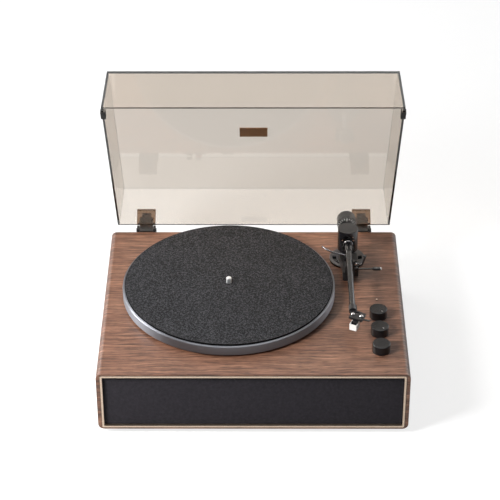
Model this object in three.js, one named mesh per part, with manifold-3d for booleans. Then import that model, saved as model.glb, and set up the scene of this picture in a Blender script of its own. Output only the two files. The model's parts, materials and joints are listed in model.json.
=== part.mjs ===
// A record player: a walnut cabinet with a cloth grille, a belt-driven platter, a straight
// tone arm and a hinged dust cover, shown with the cover open.
// Millimetres, +Z up, the front towards -Y. Inside the model, heights start at the bottom
// edge of the cabinet and the plan's centre is the cabinet's. The last lines lift the
// finished group onto its feet and centre it on its own footprint.

import * as THREE from 'three';
import { mergeVertices } from 'three/addons/utils/BufferGeometryUtils.js';
import Module from 'manifold-3d';

// Fits shared by all pieces
const seat = 0.3;
const overrun = 1;
const weldTolerance = 0.0001;
const smallSteps = 12;
const roundSteps = 20;
const wideSteps = 64;

// Platter, and the deck left free around it, which together give the cabinet its size
const platterRadius = 149;
const platterMarginLeft = 26.4;
const armDeckWidth = 95.6;
const platterMarginFront = 37.2;
const platterMarginRear = 7.8;
const platterGap = 3;
const platterHeight = 14;
const platterPlate = 3;
const platterSkirt = 3;
const platterBevel = 1;
const platterHubRadius = 12;
const platterHubLift = 2;
const driveRingRadius = 63;
const driveRingWall = 3;
const driveRingLift = 1;
const matInset = 3;
const matThickness = 2.2;
const matBevel = 0.6;

// Cabinet
const cabinetHeight = 93;
const cabinetWall = 12;
const cabinetEdgeRadius = 8;
const footHeight = 9;
const footRadius = 15;
const footTaper = 2;
const footInset = 34;
const footScrewRadius = 4;
const footScrewDepth = 4;

// Front: metal trim, cloth grille and the board behind it
const trimSideMargin = 5.5;
const trimTopMargin = 3.2;
const trimBottomMargin = 2.8;
const trimFace = 2.7;
const trimProud = 0.6;
const trimCornerRadius = 2;
const grilleRecess = 4;
const grilleThickness = 2;
const baffleThickness = 12;

// Speakers
const speakerClearance = 1.5;
const speakerFlange = 2.5;
const speakerRimWidth = 4.5;
const speakerSideInset = 110;
const speakerBasketDepth = 18;
const basketThroatRadius = 16;
const basketWall = 2;
const magnetRadius = 20;
const magnetDepth = 14;
const coneThickness = 0.9;
const coneDepth = 11;
const coneNeckRadius = 8;
const coneRollWidth = 4;
const coneRollHeight = 1.6;

// Rear panel and its sockets
const rearPanelThickness = 9;
const socketPlateThickness = 2;
const socketHeight = 34;
const socketHousingDepth = 14;
const phonoPlateWidth = 36;
const phonoPlateHeight = 17;
const phonoSideInset = 118;
const phonoPitch = 14;
const phonoBarrelRadius = 4.2;
const phonoBarrelLength = 9;
const phonoBoreRadius = 1.7;
const phonoBoreDepth = 8;
const powerPlateWidth = 17;
const powerPlateHeight = 14;
const powerSideInset = 170;
const powerBoreRadius = 3.3;
const powerPinRadius = 1;
const powerBoreDepth = 9;
const socketHousingInset = 2.5;

// Controls: three knobs in a row, and the lamp behind them
const knobRadius = 12.25;
const knobHeight = 13;
const knobLift = 0.5;
const knobBevel = 1.2;
const knobSkin = 3.5;
const knobWall = 2.5;
const knobHubRadius = 5.5;
const knobSideInset = 37.2;
const knobFrontInset = 52;
const knobPitch = 39.7;
const shaftRadius = 3;
const shaftReach = 16;
const controlSize = 16;
const controlDepth = 8;
const controlBushRadius = 4.5;
const controlNutRadius = 7;
const controlNutHeight = 2;
const controlNutSides = 6;
const deckSkin = 4;
const pocketMargin = 22;
const pocketHalfWidth = 21;
const boardThickness = 1.6;
const boardMargin = 2;
const boardPartHeight = 6;
const boardPartSize = 11;
const lampRadius = 1.8;
const lampRise = 1.2;

// Drive: bearing, spindle, motor, pulley and belt
const spindleRadius = 3.6;
const spindleRise = 9;
const spindleTip = 2.4;
const spindleCollarRadius = 7;
const spindleCollarHeight = 1.5;
const bearingRadius = 8;
const bearingDepth = 34;
const bearingFloor = 3;
const bearingFlangeRadius = 17;
const bearingFlangeHeight = 2.6;
const motorDistance = 105;
const motorDirectionDeg = 135;
const motorRadius = 18;
const motorHeight = 27;
const motorHoleRadius = 10;
const motorBossRadius = 6;
const motorBossHeight = 5;
const motorShaftRadius = 1;
const motorBoreRadius = 1.4;
const motorBoreDepth = 12;
const pulleyRadius = 6.5;
const pulleyFlangeRadius = 8.6;
const pulleyFlange = 1;
const beltWidth = 6;
const beltThickness = 0.9;
const beltLift = 5;
const beltSteps = 20;

// Tone arm: its place, base and pivot
const armSpindleGap = 41;
const armDirectionDeg = 26.68;
const armHeight = 35.5;
const armBaseRadius = 25.6;
const armBaseHeight = 5;
const armBaseBevel = 1.5;
const pedestalRadius = 12;
const pedestalHeight = 19.7;
const stemRadius = 8;
const stemDepth = 20;
const crescentInner = 15.5;
const crescentOuter = 21.5;
const crescentDepth = 3;
const crescentStartDeg = -66;
const crescentEndDeg = 8;
const swingShaftRadius = 4;
const swingShaftDepth = 14;
const housingRadius = 14.5;
const housingTop = 54.5;
const housingBevel = 0.8;
const archHalfWidth = 8.9;
const archFloor = 24;
const archCrown = 50;
const pivotPinRadius = 1.5;
const pivotPinBite = 2;

// Tone arm: the parts that lift
const hubRadius = 7.1;
const hubFront = 15.5;
const hubRear = 8;
const rodRadius = 4.5;
const rodRear = 58;
const sleeveRadius = 5.2;
const sleeveFront = 34;
const tubeRadius = 4.2;
const tubeBore = 3.2;
const stylusOverhang = 8.2;
const weightRadius = 13.8;
const weightFront = 38.4;
const weightLength = 16;
const weightBevel = 1.2;
const weightBoreGap = 0.4;
const ringRadius = 13.4;
const ringLength = 4;

// Head of the arm. Its own axes start midway between the two screws, with +Y towards the
// arm and the front towards -Y, and are turned by headTurnDeg.
const headTurnDeg = -24.2;
const headSideOffset = 5.4;
const shellTop = 1.5;
const shellThickness = 3.3;
const shellHalfWidth = 9.8;
const shellFront = 7;
const shellShoulder = 8.5;
const shellLeftBack = 3;
const shellSlotLeft = 6.5;
const shellSlotRight = 1.5;
const shellSlotFront = 5.6;
const shellSlotRear = 8.2;
const neckLeft = 4.2;
const neckRight = 6;
const neckLength = 12;
const neckOverlap = 4;
const screwSideDistance = 6.35;
const screwRadius = 1.1;
const screwHeadRadius = 2.5;
const screwHeadHeight = 1.8;
const screwBite = 6;
const cartridgeHalfWidth = 3.8;
const cartridgeEarHalfWidth = 8.8;
const cartridgeEarDepth = 2.6;
const cartridgeEarHeight = 2.5;
const cartridgeFront = 11;
const cartridgeRear = 9;
const cartridgeHeight = 7.9;
const stylusAhead = 9.5;
const stylusHolderHeight = 1.9;
const stylusHolderHalfWidth = 3.5;
const stylusHolderRear = 2;
const stylusHolderLip = 1.2;
const stylusHolderLipHeight = 4;
const cantileverRadius = 0.45;
const cantileverRoot = 5;
const stylusDrop = 12.6;
const guardHalfWidth = 5.2;
const guardWall = 1;
const guardFront = 14.7;
const guardRear = 3;
const guardFloor = 0.7;
const guardHeight = 9.4;
const guardHookLength = 2.6;
const guardHookHeight = 1.9;
const liftLength = 11.5;
const liftWidth = 3;
const liftThickness = 1.4;
const liftSetback = 5.4;
const liftTipLength = 3;
const liftTipRise = 2.2;

// Arm rest, its clip, and the lever that lowers the arm
const restFloor = 5.3;
const restTop = 19.4;
const restRearHalfWidth = 13;
const restRear = 12.6;
const restWaist = 40;
const restFrontLeft = 8.5;
const restFrontRight = 7.3;
const restFront = 62;
const cradleLength = 8;
const cradleLeft = 5.6;
const cradleDrop = 1.1;
const cradleWallGap = 0.9;
const cradleWall = 2.1;
const cradleWallRise = 2.4;
const clipPivotGap = 2.1;
const clipPivotDrop = 2.5;
const clipPinRadius = 0.9;
const clipReach = 16;
const clipRise = 9.6;
const clipThickness = 1.6;
const clipLip = 4.4;
const clipWidth = 3.4;
const clipOpenDeg = 110;
const cueHeight = 29.3;
const cueBarRadius = 1.3;
const cueArcRadius = 47.6;
const cueArcSide = 3.6;
const cueArcBack = 17.3;
const cueArcStartDeg = 272;
const cueArcEndDeg = 211.5;
const cueArcSteps = 12;
const cuePostRadius = 2.2;
const cuePostDeg = 261;
const cuePostLength = 18;
const leverReach = 46.5;
const leverSide = 10.5;
const leverHeight = 15.5;
const leverEyeRadius = 3.4;
const leverEyeWidth = 4;
const leverPinRadius = 1.2;
const leverCheek = 2.6;
const leverRodRadius = 1.1;
const leverRodLength = 19;
const leverCapRadius = 2.6;
const leverCapLength = 14;

// Dust cover and its hinges
const coverSideInset = 9;
const coverRearInset = 0.5;
const coverFrontInset = 0.5;
const coverHeight = 59.4;
const coverDraft = 5.6;
const coverWall = 3;
const coverLift = 2.5;
const coverOpenDeg = 60.2;
const hingeSideInset = 51;
const hingeBehind = 7.9;
const hingeBelowTop = 1.5;
const hingeWidth = 27.6;
const earThickness = 3.5;
const earRadius = 6.6;
const hingePlateThickness = 2;
const hingePlateBottom = 30;
const hingePlateTop = 7.4;
const earFoot = 5;
const pinRadius = 2;
const pinHeadRadius = 3.2;
const pinHeadLength = 0.8;
const leafGap = 0.4;
const barrelRadius = 5;
const leafFront = 5.4;
const leafThickness = 2.4;
const leafBottom = 4;
const leafShoulder = 17;
const leafTop = 24;
const leafTabHalfWidth = 6.6;
const pocketSkin = 1.5;
const pocketSideWall = 3.4;
const pocketBottom = 7.2;
const pocketTop = 29;
const pocketRoot = 3.1;
const badgeWidth = 39.4;
const badgeLength = 24.9;
const badgeThickness = 0.8;
const badgeRearDistance = 161.9;
const bumperLength = 16;
const bumperFrontDistance = 11.5;
const bumperDrop = 2.2;
const bumperCover = 5;
const bumperWall = 1.4;

// Places that follow from the sizes above
const cabinetWidth = platterMarginLeft + 2 * platterRadius + armDeckWidth;
const cabinetDepth = platterMarginFront + 2 * platterRadius + platterMarginRear;
const cabinetRight = cabinetWidth / 2;
const cabinetRear = cabinetDepth / 2;
const cabinetFront = -cabinetRear;
const deck = cabinetHeight;
const deckUnderside = deck - cabinetWall;
const platterX = -cabinetRight + platterMarginLeft + platterRadius;
const platterY = cabinetFront + platterMarginFront + platterRadius;
const platterBottom = deck + platterGap;
const platterTop = platterBottom + platterHeight;
const matTop = platterTop + seat + matThickness;
const motorDirection = THREE.MathUtils.degToRad(motorDirectionDeg);
const motorX = platterX + motorDistance * Math.cos(motorDirection);
const motorY = platterY + motorDistance * Math.sin(motorDirection);
const spindleDistance = platterRadius + armSpindleGap;
const armDirection = THREE.MathUtils.degToRad(armDirectionDeg);
const armX = platterX + spindleDistance * Math.cos(armDirection);
const armY = platterY + spindleDistance * Math.sin(armDirection);
const speakerRadius = (cabinetHeight - 2 * cabinetWall) / 2 - speakerClearance;
const speakerSideDistance = cabinetRight - speakerSideInset;
const hingeSideDistance = cabinetRight - hingeSideInset;
const knobX = cabinetRight - knobSideInset;
const knobFrontY = cabinetFront + knobFrontInset;
const sides = [['left', -1], ['right', 1]];

// Finishes, one new material a piece
const finishes = {
  walnut: { color: 0x7a5a47, roughness: 0.55, metalness: 0 },
  fibreboard: { color: 0x8d7355, roughness: 0.9, metalness: 0 },
  grilleCloth: { color: 0x1d1b1b, roughness: 1, metalness: 0 },
  goldTrim: { color: 0xcdb48c, roughness: 0.35, metalness: 1 },
  blackPlastic: { color: 0x1c1b1c, roughness: 0.5, metalness: 0 },
  blackPaint: { color: 0x232223, roughness: 0.4, metalness: 0.3 },
  blackRubber: { color: 0x1a1a1a, roughness: 0.9, metalness: 0 },
  feltMat: { color: 0x2b2b2c, roughness: 1, metalness: 0 },
  platterMetal: { color: 0x55575c, roughness: 0.35, metalness: 0.9 },
  steel: { color: 0xb9bbbe, roughness: 0.25, metalness: 1 },
  greyPaper: { color: 0x3a3835, roughness: 0.95, metalness: 0 },
  circuitGreen: { color: 0x2f5a3c, roughness: 0.6, metalness: 0 },
  smokedAcrylic: { color: 0xb9aa9c, roughness: 0.08, metalness: 0, transparent: true, opacity: 0.4 },
  bronze: { color: 0x6b4b30, roughness: 0.4, metalness: 0.9 },
  whitePlastic: { color: 0xf2efea, roughness: 0.4, metalness: 0 },
  clearLens: { color: 0xd9c8b8, roughness: 0.2, metalness: 0 },
};

const wasm = await Module();
wasm.setup();

// A closed three.js geometry as a manifold solid, with its shared points welded and the
// slivers at the poles of turned shapes dropped.
function solidOf(geometry) {
  const bare = geometry.clone();
  bare.deleteAttribute('normal');
  bare.deleteAttribute('uv');
  const welded = mergeVertices(bare, weldTolerance);
  const kept = [];
  const index = welded.index.array;
  for (let i = 0; i < index.length; i += 3) {
    const [a, b, c] = index.slice(i, i + 3);
    if (a !== b && b !== c && c !== a) {
      kept.push(a, b, c);
    }
  }
  const vertProperties = new Float32Array(welded.attributes.position.array);
  return new wasm.Manifold(new wasm.Mesh({ numProp: 3, vertProperties, triVerts: new Uint32Array(kept) }));
}

function geometryOf(solid) {
  const mesh = solid.getMesh();
  const geometry = new THREE.BufferGeometry();
  geometry.setAttribute('position', new THREE.BufferAttribute(new Float32Array(mesh.vertProperties), 3));
  geometry.setIndex(new THREE.BufferAttribute(new Uint32Array(mesh.triVerts), 1));
  geometry.computeVertexNormals();
  return geometry;
}

function join(...geometries) {
  return geometryOf(geometries.map(solidOf).reduce((whole, piece) => whole.add(piece)));
}

function cut(geometry, ...tools) {
  return geometryOf(tools.map(solidOf).reduce((whole, tool) => whole.subtract(tool), solidOf(geometry)));
}

// A box between two corners
function block(x0, x1, y0, y1, z0, z1) {
  const box = new THREE.BoxGeometry(x1 - x0, y1 - y0, z1 - z0);
  return box.translate((x0 + x1) / 2, (y0 + y1) / 2, (z0 + z1) / 2);
}

// A turned piece: [radius, height] pairs from the lowest point outwards and up, about +Z
function turned(profile, steps = roundSteps) {
  const points = profile.map(([radius, height]) => new THREE.Vector2(radius, height));
  return new THREE.LatheGeometry(points, steps).rotateX(Math.PI / 2);
}

// A turned piece with a bore, whose profile closes on itself
function turnedRing(profile, steps = roundSteps) {
  return turned([...profile, profile[0]], steps);
}

function rod(radius, z0, z1, steps = roundSteps) {
  return turned([[0, z0], [radius, z0], [radius, z1], [0, z1]], steps);
}

function pointedAlongX(geometry) {
  return geometry.rotateY(Math.PI / 2);
}

function pointedAlongY(geometry) {
  return geometry.rotateX(-Math.PI / 2);
}

function outline(points) {
  return new THREE.Shape(points.map(([x, y]) => new THREE.Vector2(x, y)));
}

// A flat shape in plan, carried up from z0 to z1
function plate(shape, z0, z1, steps = smallSteps) {
  const options = { depth: z1 - z0, bevelEnabled: false, curveSegments: steps };
  return new THREE.ExtrudeGeometry(shape, options).translate(0, 0, z0);
}

// A shape drawn as [x, z], seen from the front, carried from y0 back to y1
function frontSection(shape, y0, y1, steps = smallSteps) {
  return plate(shape, 0, y1 - y0, steps).rotateX(Math.PI / 2).translate(0, y1, 0);
}

// A shape drawn as [y, z], seen from the right, carried from x0 to x1
function sideSection(shape, x0, x1, steps = smallSteps) {
  const upright = plate(shape, 0, x1 - x0, steps);
  upright.applyMatrix4(new THREE.Matrix4().makeBasis(
    new THREE.Vector3(0, 1, 0), new THREE.Vector3(0, 0, 1), new THREE.Vector3(1, 0, 0)));
  return upright.translate(x0, 0, 0);
}

function roundedRectangle(x0, x1, z0, z1, radius) {
  const shape = new THREE.Shape();
  shape.absarc(x1 - radius, z1 - radius, radius, 0, Math.PI / 2);
  shape.absarc(x0 + radius, z1 - radius, radius, Math.PI / 2, Math.PI);
  shape.absarc(x0 + radius, z0 + radius, radius, Math.PI, Math.PI * 3 / 2);
  shape.absarc(x1 - radius, z0 + radius, radius, Math.PI * 3 / 2, Math.PI * 2);
  shape.closePath();
  return shape;
}

// A box whose four sides lean in by the same draft towards its top
function draftedBlock(x0, x1, y0, y1, z0, z1, draft) {
  const box = block(x0, x1, y0, y1, z0, z1);
  const place = box.attributes.position;
  const middleX = (x0 + x1) / 2;
  const middleY = (y0 + y1) / 2;
  for (let i = 0; i < place.count; i += 1) {
    if (place.getZ(i) > (z0 + z1) / 2) {
      place.setX(i, place.getX(i) - draft * Math.sign(place.getX(i) - middleX));
      place.setY(i, place.getY(i) - draft * Math.sign(place.getY(i) - middleY));
    }
  }
  return box;
}

const player = new THREE.Group();

function add(name, finish, geometry, carrier = player) {
  const mesh = new THREE.Mesh(geometry, new THREE.MeshStandardMaterial(finishes[finish]));
  mesh.name = name;
  carrier.add(mesh);
}

// Front opening: a rebate that holds the trim, the grille and the board in that order
const trimLeft = -cabinetRight + trimSideMargin;
const trimRight = cabinetRight - trimSideMargin;
const trimBottom = trimBottomMargin;
const trimTop = cabinetHeight - trimTopMargin;
const grilleFront = cabinetFront + grilleRecess;
const baffleFront = grilleFront + grilleThickness + seat;
const baffleRear = baffleFront + baffleThickness;
const controlPlaces = ['volume', 'source', 'speed'].map((name, i) => [name, knobFrontY + i * knobPitch]);
const lampY = knobFrontY + controlPlaces.length * knobPitch;
const pocketCeiling = deck - deckSkin;

function cabinetShell() {
  const skin = roundedRectangle(-cabinetRight, cabinetRight, 0, cabinetHeight, cabinetEdgeRadius);
  const inside = block(-cabinetRight + cabinetWall, cabinetRight - cabinetWall,
    cabinetFront - overrun, cabinetRear + overrun, cabinetWall, deckUnderside);
  const rebate = block(trimLeft - seat, trimRight + seat,
    cabinetFront - overrun, baffleRear + seat, trimBottom - seat, trimTop + seat);
  const hole = (x, y, radius) => rod(radius + seat, deckUnderside - overrun, deck + overrun)
    .translate(x, y, 0);
  const pocket = block(knobX - pocketHalfWidth, knobX + pocketHalfWidth,
    knobFrontY - pocketMargin, lampY + pocketMargin / 2, deckUnderside - overrun, pocketCeiling);
  return cut(frontSection(skin, cabinetFront, cabinetRear), inside, rebate, pocket,
    hole(platterX, platterY, bearingRadius), hole(motorX, motorY, motorHoleRadius),
    hole(armX, armY, stemRadius), hole(knobX, lampY, lampRadius),
    ...controlPlaces.map(([, y]) => hole(knobX, y, controlBushRadius)));
}
add('cabinet_shell', 'walnut', cabinetShell());

function speakerOnBoard(geometry, sign) {
  return pointedAlongY(geometry).translate(sign * speakerSideDistance, baffleRear + seat, cabinetHeight / 2);
}

const speakerMouth = speakerRadius - speakerRimWidth;

function frontBaffle() {
  const board = block(trimLeft, trimRight, baffleFront, baffleRear, trimBottom, trimTop);
  const mouths = sides.map(([, sign]) => speakerOnBoard(
    rod(speakerMouth, -baffleThickness - seat - overrun, overrun), sign));
  return cut(board, ...mouths);
}
add('front_baffle', 'fibreboard', frontBaffle());

const clothInset = trimFace + seat;
add('grille_cloth', 'grilleCloth', block(trimLeft + clothInset, trimRight - clothInset,
  grilleFront, grilleFront + grilleThickness, trimBottom + clothInset, trimTop - clothInset));

function grilleTrim() {
  const frame = roundedRectangle(trimLeft, trimRight, trimBottom, trimTop, trimCornerRadius);
  const window = block(trimLeft + trimFace, trimRight - trimFace, cabinetFront - trimProud - overrun,
    baffleFront, trimBottom + trimFace, trimTop - trimFace);
  return cut(frontSection(frame, cabinetFront - trimProud, baffleFront - seat, roundSteps / 4), window);
}
add('grille_trim', 'goldTrim', grilleTrim());

// Speakers, behind the board and open to the front, with +Z of their profiles pointing back
function speakerFrame() {
  const back = speakerBasketDepth + magnetDepth;
  return turned([
    [0, speakerBasketDepth - basketWall], [basketThroatRadius - basketWall, speakerBasketDepth - basketWall],
    [speakerMouth, speakerFlange], [speakerMouth, 0], [speakerRadius, 0], [speakerRadius, speakerFlange],
    [speakerMouth + basketWall, speakerFlange], [basketThroatRadius, speakerBasketDepth],
    [magnetRadius, speakerBasketDepth], [magnetRadius, back], [0, back],
  ]);
}

function speakerCone() {
  const edge = speakerMouth - seat;
  const rollMiddle = edge - coneRollWidth / 2;
  const coneTop = edge - coneRollWidth;
  return turned([
    [0, coneDepth - coneRollHeight], [coneNeckRadius, coneDepth], [coneTop, coneThickness],
    [rollMiddle, -coneRollHeight / 2], [edge, 0], [edge, coneThickness],
    [rollMiddle, coneThickness - coneRollHeight / 2], [coneTop, coneThickness * 2],
    [coneNeckRadius, coneDepth + coneThickness], [0, coneDepth + coneThickness - coneRollHeight],
  ]);
}

for (const [side, sign] of sides) {
  add(`speaker_frame_${side}`, 'blackPaint', speakerOnBoard(speakerFrame(), sign));
  add(`speaker_cone_${side}`, 'greyPaper', speakerOnBoard(speakerCone(), sign));
}

// Rear panel, with the two sound outputs and the low-voltage inlet
const panelFront = cabinetRear - rearPanelThickness;
const phonoX = -cabinetRight + phonoSideInset;
const powerX = -cabinetRight + powerSideInset;

function socketHousing(x, width, height, gap) {
  const halfWidth = width / 2 - socketHousingInset + gap;
  const halfHeight = height / 2 - socketHousingInset + gap;
  return block(x - halfWidth, x + halfWidth, panelFront - socketHousingDepth + rearPanelThickness,
    cabinetRear + seat + socketPlateThickness / 2, socketHeight - halfHeight, socketHeight + halfHeight);
}

function socketPlate(x, width, height) {
  return block(x - width / 2, x + width / 2, cabinetRear + seat, cabinetRear + seat + socketPlateThickness,
    socketHeight - height / 2, socketHeight + height / 2);
}

function rearPanel() {
  const board = block(-cabinetRight + cabinetWall + seat, cabinetRight - cabinetWall - seat,
    panelFront, cabinetRear, cabinetWall + seat, deckUnderside - seat);
  return cut(board, socketHousing(phonoX, phonoPlateWidth, phonoPlateHeight, seat),
    socketHousing(powerX, powerPlateWidth, powerPlateHeight, seat));
}
add('rear_panel', 'fibreboard', rearPanel());

const socketFace = cabinetRear + seat + socketPlateThickness;

function phonoSockets() {
  const barrelEnd = socketFace + phonoBarrelLength;
  const places = [phonoX - phonoPitch / 2, phonoX + phonoPitch / 2];
  const barrel = (x, radius, from, to) => pointedAlongY(rod(radius, from, to, smallSteps))
    .translate(x, 0, socketHeight);
  const body = join(socketPlate(phonoX, phonoPlateWidth, phonoPlateHeight),
    socketHousing(phonoX, phonoPlateWidth, phonoPlateHeight, 0),
    ...places.map((x) => barrel(x, phonoBarrelRadius, cabinetRear, barrelEnd)));
  const boreStart = barrelEnd - phonoBoreDepth;
  return cut(body, ...places.map((x) => barrel(x, phonoBoreRadius, boreStart, barrelEnd + overrun)));
}
add('sound_output_sockets', 'blackPlastic', phonoSockets());

function powerInlet() {
  const bored = (radius, to) => pointedAlongY(rod(radius, socketFace - powerBoreDepth, to, smallSteps));
  const body = join(socketPlate(powerX, powerPlateWidth, powerPlateHeight),
    socketHousing(powerX, powerPlateWidth, powerPlateHeight, 0));
  const hollow = bored(powerBoreRadius, socketFace + overrun).translate(powerX, 0, socketHeight);
  const pin = bored(powerPinRadius, socketFace - seat).translate(powerX, 0, socketHeight);
  return join(cut(body, hollow), pin.translate(0, -seat, 0));
}
add('power_inlet', 'blackPlastic', powerInlet());

// Controls under the deck, the board they are soldered to, and their knobs
function control() {
  const half = controlSize / 2;
  const bodyTop = pocketCeiling - seat;
  const nutBottom = deck + seat;
  const body = join(block(-half, half, -half, half, bodyTop - controlDepth, bodyTop),
    rod(controlBushRadius, bodyTop - overrun, nutBottom + controlNutHeight),
    rod(controlNutRadius, nutBottom, nutBottom + controlNutHeight, controlNutSides));
  return cut(body, rod(shaftRadius + seat, bodyTop - controlDepth / 2, deck + shaftReach, smallSteps));
}

function knob() {
  const bottom = deck + knobLift;
  const top = bottom + knobHeight;
  const ceiling = top - knobSkin;
  const cavity = knobRadius - knobWall;
  const stemBottom = pocketCeiling - controlDepth / 2;
  const hubBottom = deck + seat + controlNutHeight + seat;
  return turned([
    [0, stemBottom], [shaftRadius, stemBottom], [shaftRadius, hubBottom], [knobHubRadius, hubBottom],
    [knobHubRadius, ceiling], [cavity, ceiling], [cavity, bottom], [knobRadius, bottom],
    [knobRadius, top - knobBevel], [knobRadius - knobBevel, top], [0, top],
  ]);
}

for (const [name, y] of controlPlaces) {
  add(`${name}_control`, 'steel', control().translate(knobX, y, 0));
  add(`${name}_knob`, 'blackPlastic', knob().translate(knobX, y, 0));
}

const boardTop = pocketCeiling - seat - controlDepth - seat;

function amplifierBoard() {
  const board = block(knobX - pocketHalfWidth + boardMargin, knobX + pocketHalfWidth - boardMargin,
    knobFrontY - pocketMargin + boardMargin, lampY + pocketMargin / 2 - boardMargin,
    boardTop - boardThickness, boardTop);
  const chips = controlPlaces.map(([, y]) => block(knobX - boardPartSize / 2, knobX + boardPartSize / 2,
    y - boardPartSize / 2, y + boardPartSize / 2,
    boardTop - boardThickness - boardPartHeight, boardTop - boardThickness / 2));
  return join(board, ...chips);
}
add('amplifier_board', 'circuitGreen', amplifierBoard());

function powerLamp() {
  const lens = turned([
    [0, boardTop + seat], [lampRadius, boardTop + seat], [lampRadius, deck], [lampRadius * Math.SQRT1_2,
      deck + lampRise * Math.SQRT1_2], [0, deck + lampRise],
  ], smallSteps);
  return lens.translate(knobX, lampY, 0);
}
add('power_lamp', 'clearLens', powerLamp());

// Bearing, spindle, platter and mat, all about the spindle
const hubBottom = platterBottom + platterHubLift;
const collarTop = hubBottom - seat;
const bearingBore = spindleRadius + seat;

function aboutSpindle(geometry) {
  return geometry.translate(platterX, platterY, 0);
}

function bearingHousing() {
  const flangeTop = deck + bearingFlangeHeight;
  return turned([
    [0, deck - bearingDepth], [bearingRadius, deck - bearingDepth], [bearingRadius, deck + seat],
    [bearingFlangeRadius, deck + seat], [bearingFlangeRadius, flangeTop], [bearingBore, flangeTop],
    [bearingBore, deck - bearingDepth + bearingFloor], [0, deck - bearingDepth + bearingFloor],
  ]);
}
add('bearing_housing', 'steel', aboutSpindle(bearingHousing()));

function spindle() {
  const lowEnd = deck - bearingDepth + bearingFloor + seat;
  const tip = matTop + spindleRise;
  return turned([
    [0, lowEnd], [spindleRadius, lowEnd], [spindleRadius, collarTop - spindleCollarHeight],
    [spindleCollarRadius, collarTop - spindleCollarHeight], [spindleCollarRadius, collarTop],
    [spindleRadius, collarTop], [spindleRadius, tip - spindleTip],
    [spindleRadius * Math.SQRT1_2, tip - spindleTip * (1 - Math.SQRT1_2)], [0, tip],
  ]);
}
add('spindle', 'steel', aboutSpindle(spindle()));

function platter() {
  const underside = platterTop - platterPlate;
  const ringInner = driveRingRadius - driveRingWall;
  const skirtInner = platterRadius - platterSkirt;
  return turnedRing([
    [bearingBore, hubBottom], [platterHubRadius, hubBottom], [platterHubRadius, underside],
    [ringInner, underside], [ringInner, platterBottom + driveRingLift],
    [driveRingRadius, platterBottom + driveRingLift], [driveRingRadius, underside],
    [skirtInner, underside], [skirtInner, platterBottom], [platterRadius - platterBevel, platterBottom],
    [platterRadius, platterBottom + platterBevel], [platterRadius, platterTop - platterBevel],
    [platterRadius - platterBevel, platterTop], [bearingBore, platterTop],
  ], wideSteps);
}
add('platter', 'platterMetal', aboutSpindle(platter()));

function platterMat() {
  const edge = platterRadius - matInset;
  const underside = platterTop + seat;
  return turnedRing([
    [bearingBore, underside], [edge, underside], [edge, matTop - matBevel], [edge - matBevel, matTop],
    [bearingBore, matTop],
  ], wideSteps);
}
add('platter_mat', 'feltMat', aboutSpindle(platterMat()));

// Motor, pulley and belt
function motor() {
  const top = deckUnderside - seat;
  const bossTop = top + motorBossHeight;
  const body = join(rod(motorRadius, top - motorHeight, top), rod(motorBossRadius, top - overrun, bossTop));
  return cut(body, rod(motorBoreRadius, top - motorBoreDepth, bossTop + overrun, smallSteps));
}
add('motor', 'steel', motor().translate(motorX, motorY, 0));

const beltBottom = platterBottom + beltLift - platterGap;
const beltTop = beltBottom + beltWidth;

function motorPulley() {
  const shaftEnd = deckUnderside - motorBoreDepth;
  const lowFlange = beltBottom - seat - pulleyFlange;
  const highFlange = beltTop + seat + pulleyFlange;
  return turned([
    [0, shaftEnd], [motorShaftRadius, shaftEnd], [motorShaftRadius, lowFlange],
    [pulleyFlangeRadius, lowFlange], [pulleyFlangeRadius, beltBottom - seat],
    [pulleyRadius, beltBottom - seat], [pulleyRadius, beltTop + seat],
    [pulleyFlangeRadius, beltTop + seat], [pulleyFlangeRadius, highFlange], [0, highFlange],
  ]);
}
add('motor_pulley', 'steel', motorPulley().translate(motorX, motorY, 0));

// The belt's outline: two arcs joined by the straight runs that touch them both
function beltLoop(Path, grow) {
  const ring = driveRingRadius + seat + grow;
  const wheel = pulleyRadius + seat + grow;
  const wrap = Math.acos((ring - wheel) / motorDistance);
  const loop = new Path();
  loop.absarc(platterX, platterY, ring, motorDirection + wrap, motorDirection - wrap + 2 * Math.PI);
  loop.absarc(motorX, motorY, wheel, motorDirection - wrap, motorDirection + wrap);
  loop.closePath();
  return loop;
}

function driveBelt() {
  const band = beltLoop(THREE.Shape, beltThickness);
  band.holes.push(beltLoop(THREE.Path, 0));
  return plate(band, beltBottom, beltTop, beltSteps);
}
add('drive_belt', 'blackRubber', driveBelt());

// Feet
const foot = () => turned([
  [0, -footHeight + footScrewDepth], [footScrewRadius, -footHeight + footScrewDepth],
  [footScrewRadius, -footHeight], [footRadius - footTaper, -footHeight], [footRadius, -seat], [0, -seat],
]);
for (const [side, sign] of sides) {
  for (const [end, along] of [['front', -1], ['rear', 1]]) {
    add(`foot_${end}_${side}`, 'blackRubber',
      foot().translate(sign * (cabinetRight - footInset), along * (cabinetRear - footInset), 0));
  }
}

// Tone arm base and the pivot housing, both about the arm's upright axis
const armStand = new THREE.Group();
armStand.position.set(armX, armY, deck);
player.add(armStand);

function crescent(startDeg, endDeg) {
  const start = THREE.MathUtils.degToRad(startDeg);
  const end = THREE.MathUtils.degToRad(endDeg);
  const shape = new THREE.Shape();
  shape.absarc(0, 0, crescentOuter, start, end);
  shape.absarc(0, 0, crescentInner, end, start, true);
  shape.closePath();
  return plate(shape, armBaseHeight - crescentDepth, armBaseHeight + overrun, smallSteps / 2);
}

function armBase() {
  const body = turned([
    [0, -stemDepth], [stemRadius, -stemDepth], [stemRadius, seat], [armBaseRadius, seat],
    [armBaseRadius, armBaseHeight - armBaseBevel], [armBaseRadius - armBaseBevel, armBaseHeight],
    [pedestalRadius, armBaseHeight], [pedestalRadius, pedestalHeight], [0, pedestalHeight],
  ]);
  return cut(body, rod(swingShaftRadius + seat, -swingShaftDepth - seat, pedestalHeight + overrun),
    crescent(crescentStartDeg, crescentEndDeg), crescent(180 - crescentEndDeg, 180 - crescentStartDeg));
}
add('arm_base', 'blackPlastic', armBase(), armStand);

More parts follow.
